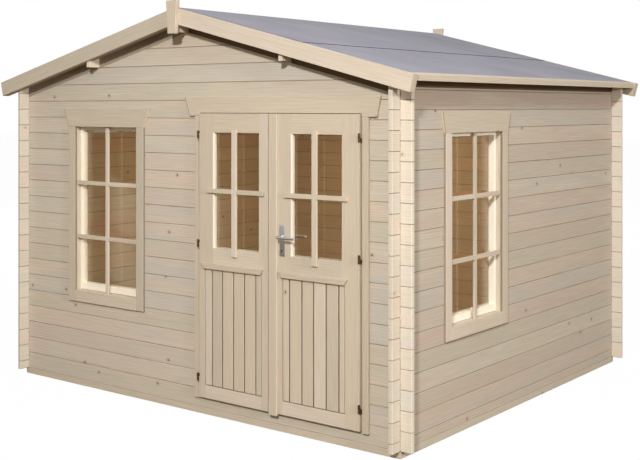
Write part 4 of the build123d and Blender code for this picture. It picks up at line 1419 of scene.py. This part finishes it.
# %% Floor
FLOOR_REACH = 60.0
floor_mesh = bpy.data.meshes.new("studio_floor")
corners = [(x, y, 0) for x, y in box(-FLOOR_REACH, FLOOR_REACH, -FLOOR_REACH, FLOOR_REACH)]
floor_mesh.from_pydata(corners, [], [(0, 1, 2, 3)])
floor_object = bpy.data.objects.new("studio_floor", floor_mesh)
bpy.context.scene.collection.objects.link(floor_object)
pale_floor = blank("pale_studio_floor")
bounce = add(pale_floor, "ShaderNodeBsdfDiffuse", {"Color": linear("#8A7B66")})
shown = add(pale_floor, "ShaderNodeBsdfDiffuse", {"Color": linear("#F8F8F8")})
white = add(pale_floor, "ShaderNodeEmission", {"Color": WHITE, "Strength": 1.0})
path_kind = add(pale_floor, "ShaderNodeLightPath")
paper = add(pale_floor, "ShaderNodeMixShader", {0: 0.97}, {1: shown.outputs[0], 2: white.outputs[0]})
floor_mix = add(
    pale_floor, "ShaderNodeMixShader",
    links={0: path_kind.outputs["Is Camera Ray"], 1: bounce.outputs[0], 2: paper.outputs[0]},
)
add(pale_floor, "ShaderNodeOutputMaterial", links={"Surface": floor_mix.outputs["Shader"]})
floor_mesh.materials.append(pale_floor)
print("floor", 2 * FLOOR_REACH, "m wide")

# %% Sky
world = bpy.data.worlds.new("studio_sky")
bpy.context.scene.world = world
world.use_nodes = True
world.node_tree.nodes.clear()
direction = add(world, "ShaderNodeTexCoord").outputs["Generated"]
sky_height = add(world, "ShaderNodeSeparateXYZ", links={0: direction}).outputs["Z"]
overhead = add(world, "ShaderNodeMapRange", {"To Min": 0.3, "To Max": 0.66}, {"Value": sky_height})
sky_light = add(
    world, "ShaderNodeBackground", {"Color": linear("#F6F4F0")}, {"Strength": overhead.outputs["Result"]}
)
sky_white = add(world, "ShaderNodeBackground", {"Color": WHITE, "Strength": 1.0})
sky_path = add(world, "ShaderNodeLightPath").outputs
seen = sky_path["Is Camera Ray"]
for kind in ("Is Glossy Ray", "Is Transmission Ray"):
    seen = add(world, "ShaderNodeMath", {"operation": "MAXIMUM"}, {0: seen, 1: sky_path[kind]}).outputs[0]
sky_mix = add(
    world, "ShaderNodeMixShader", links={0: seen, 1: sky_light.outputs[0], 2: sky_white.outputs[0]}
)
add(world, "ShaderNodeOutputWorld", links={"Surface": sky_mix.outputs[0]})

# %% [markdown]
# ## Lamps
# Three soft lamps stand round the cabin: one in front, one low on the right, so that the reveals that
# face right are bright, and one behind, so that the rear isn't dark. Each is given the level of light
# that it makes, which stays the same when it is moved. A warm lamp in the room lights what the panes
# show.


# %% Lamps
def add_lamp(name, towards, distance, level, size):
    """A square soft lamp that gives this level of light at the cabin."""
    lamp = bpy.data.lights.new(name, "AREA")
    lamp.size = size
    lamp.energy = level * math.pi * distance ** 2
    aim = Vector(towards).normalized()
    holder = bpy.data.objects.new(name, lamp)
    holder.rotation_euler = aim.to_track_quat("Z", "Y").to_euler()
    holder.location = aim * distance + Vector((0, 0, 1.2))
    bpy.context.scene.collection.objects.link(holder)
    print(name, round(lamp.energy), "W")


add_lamp("front_lamp", (0.57, -1.0, 0.5), 12.0, 2.12, 0.7)
add_lamp("right_lamp", (1.0, -0.3, 0.2), 14.0, 1.12, 1.0)
add_lamp("rear_lamp", (-0.75, 0.8, 0.15), 14.0, 1.5, 2.0)

glow = bpy.data.lights.new("room_lamp", "AREA")
glow.shape = "RECTANGLE"
glow.size = 1.6
glow.size_y = 1.6
glow.energy = 27.0
glow.color = (1.0, 0.7, 0.4)
glow_holder = bpy.data.objects.new("room_lamp", glow)
glow_holder.location = (0, 0, 2.15)
bpy.context.scene.collection.objects.link(glow_holder)

# %% [markdown]
# ## Camera
# The camera stands just under 2 m high, off the front right corner. It is shifted rather than tilted,
# so that uprights stay upright. The values below are of a picture 640 pixels wide and 460 high.

# %% Camera
SENSOR = 36.0
PICTURE_WIDTH, PICTURE_HEIGHT = 640, 460
FOCAL_PIXELS = 1096.378
AXIS_X, AXIS_Y = 330.18, 107.141
camera_data = bpy.data.cameras.new("view")
camera_data.sensor_width = SENSOR
camera_data.lens = FOCAL_PIXELS / PICTURE_WIDTH * SENSOR
camera_data.shift_x = (PICTURE_WIDTH / 2 - AXIS_X) / PICTURE_WIDTH
camera_data.shift_y = (AXIS_Y - PICTURE_HEIGHT / 2) / PICTURE_WIDTH
camera_data.clip_end = 200.0
camera = bpy.data.objects.new("view", camera_data)
camera.location = (4.98167, -6.48772, 1.93783)
camera.rotation_euler = (math.radians(90), 0, 0.6510)
bpy.context.scene.collection.objects.link(camera)
bpy.context.scene.camera = camera
bpy.context.scene.view_settings.view_transform = "Standard"
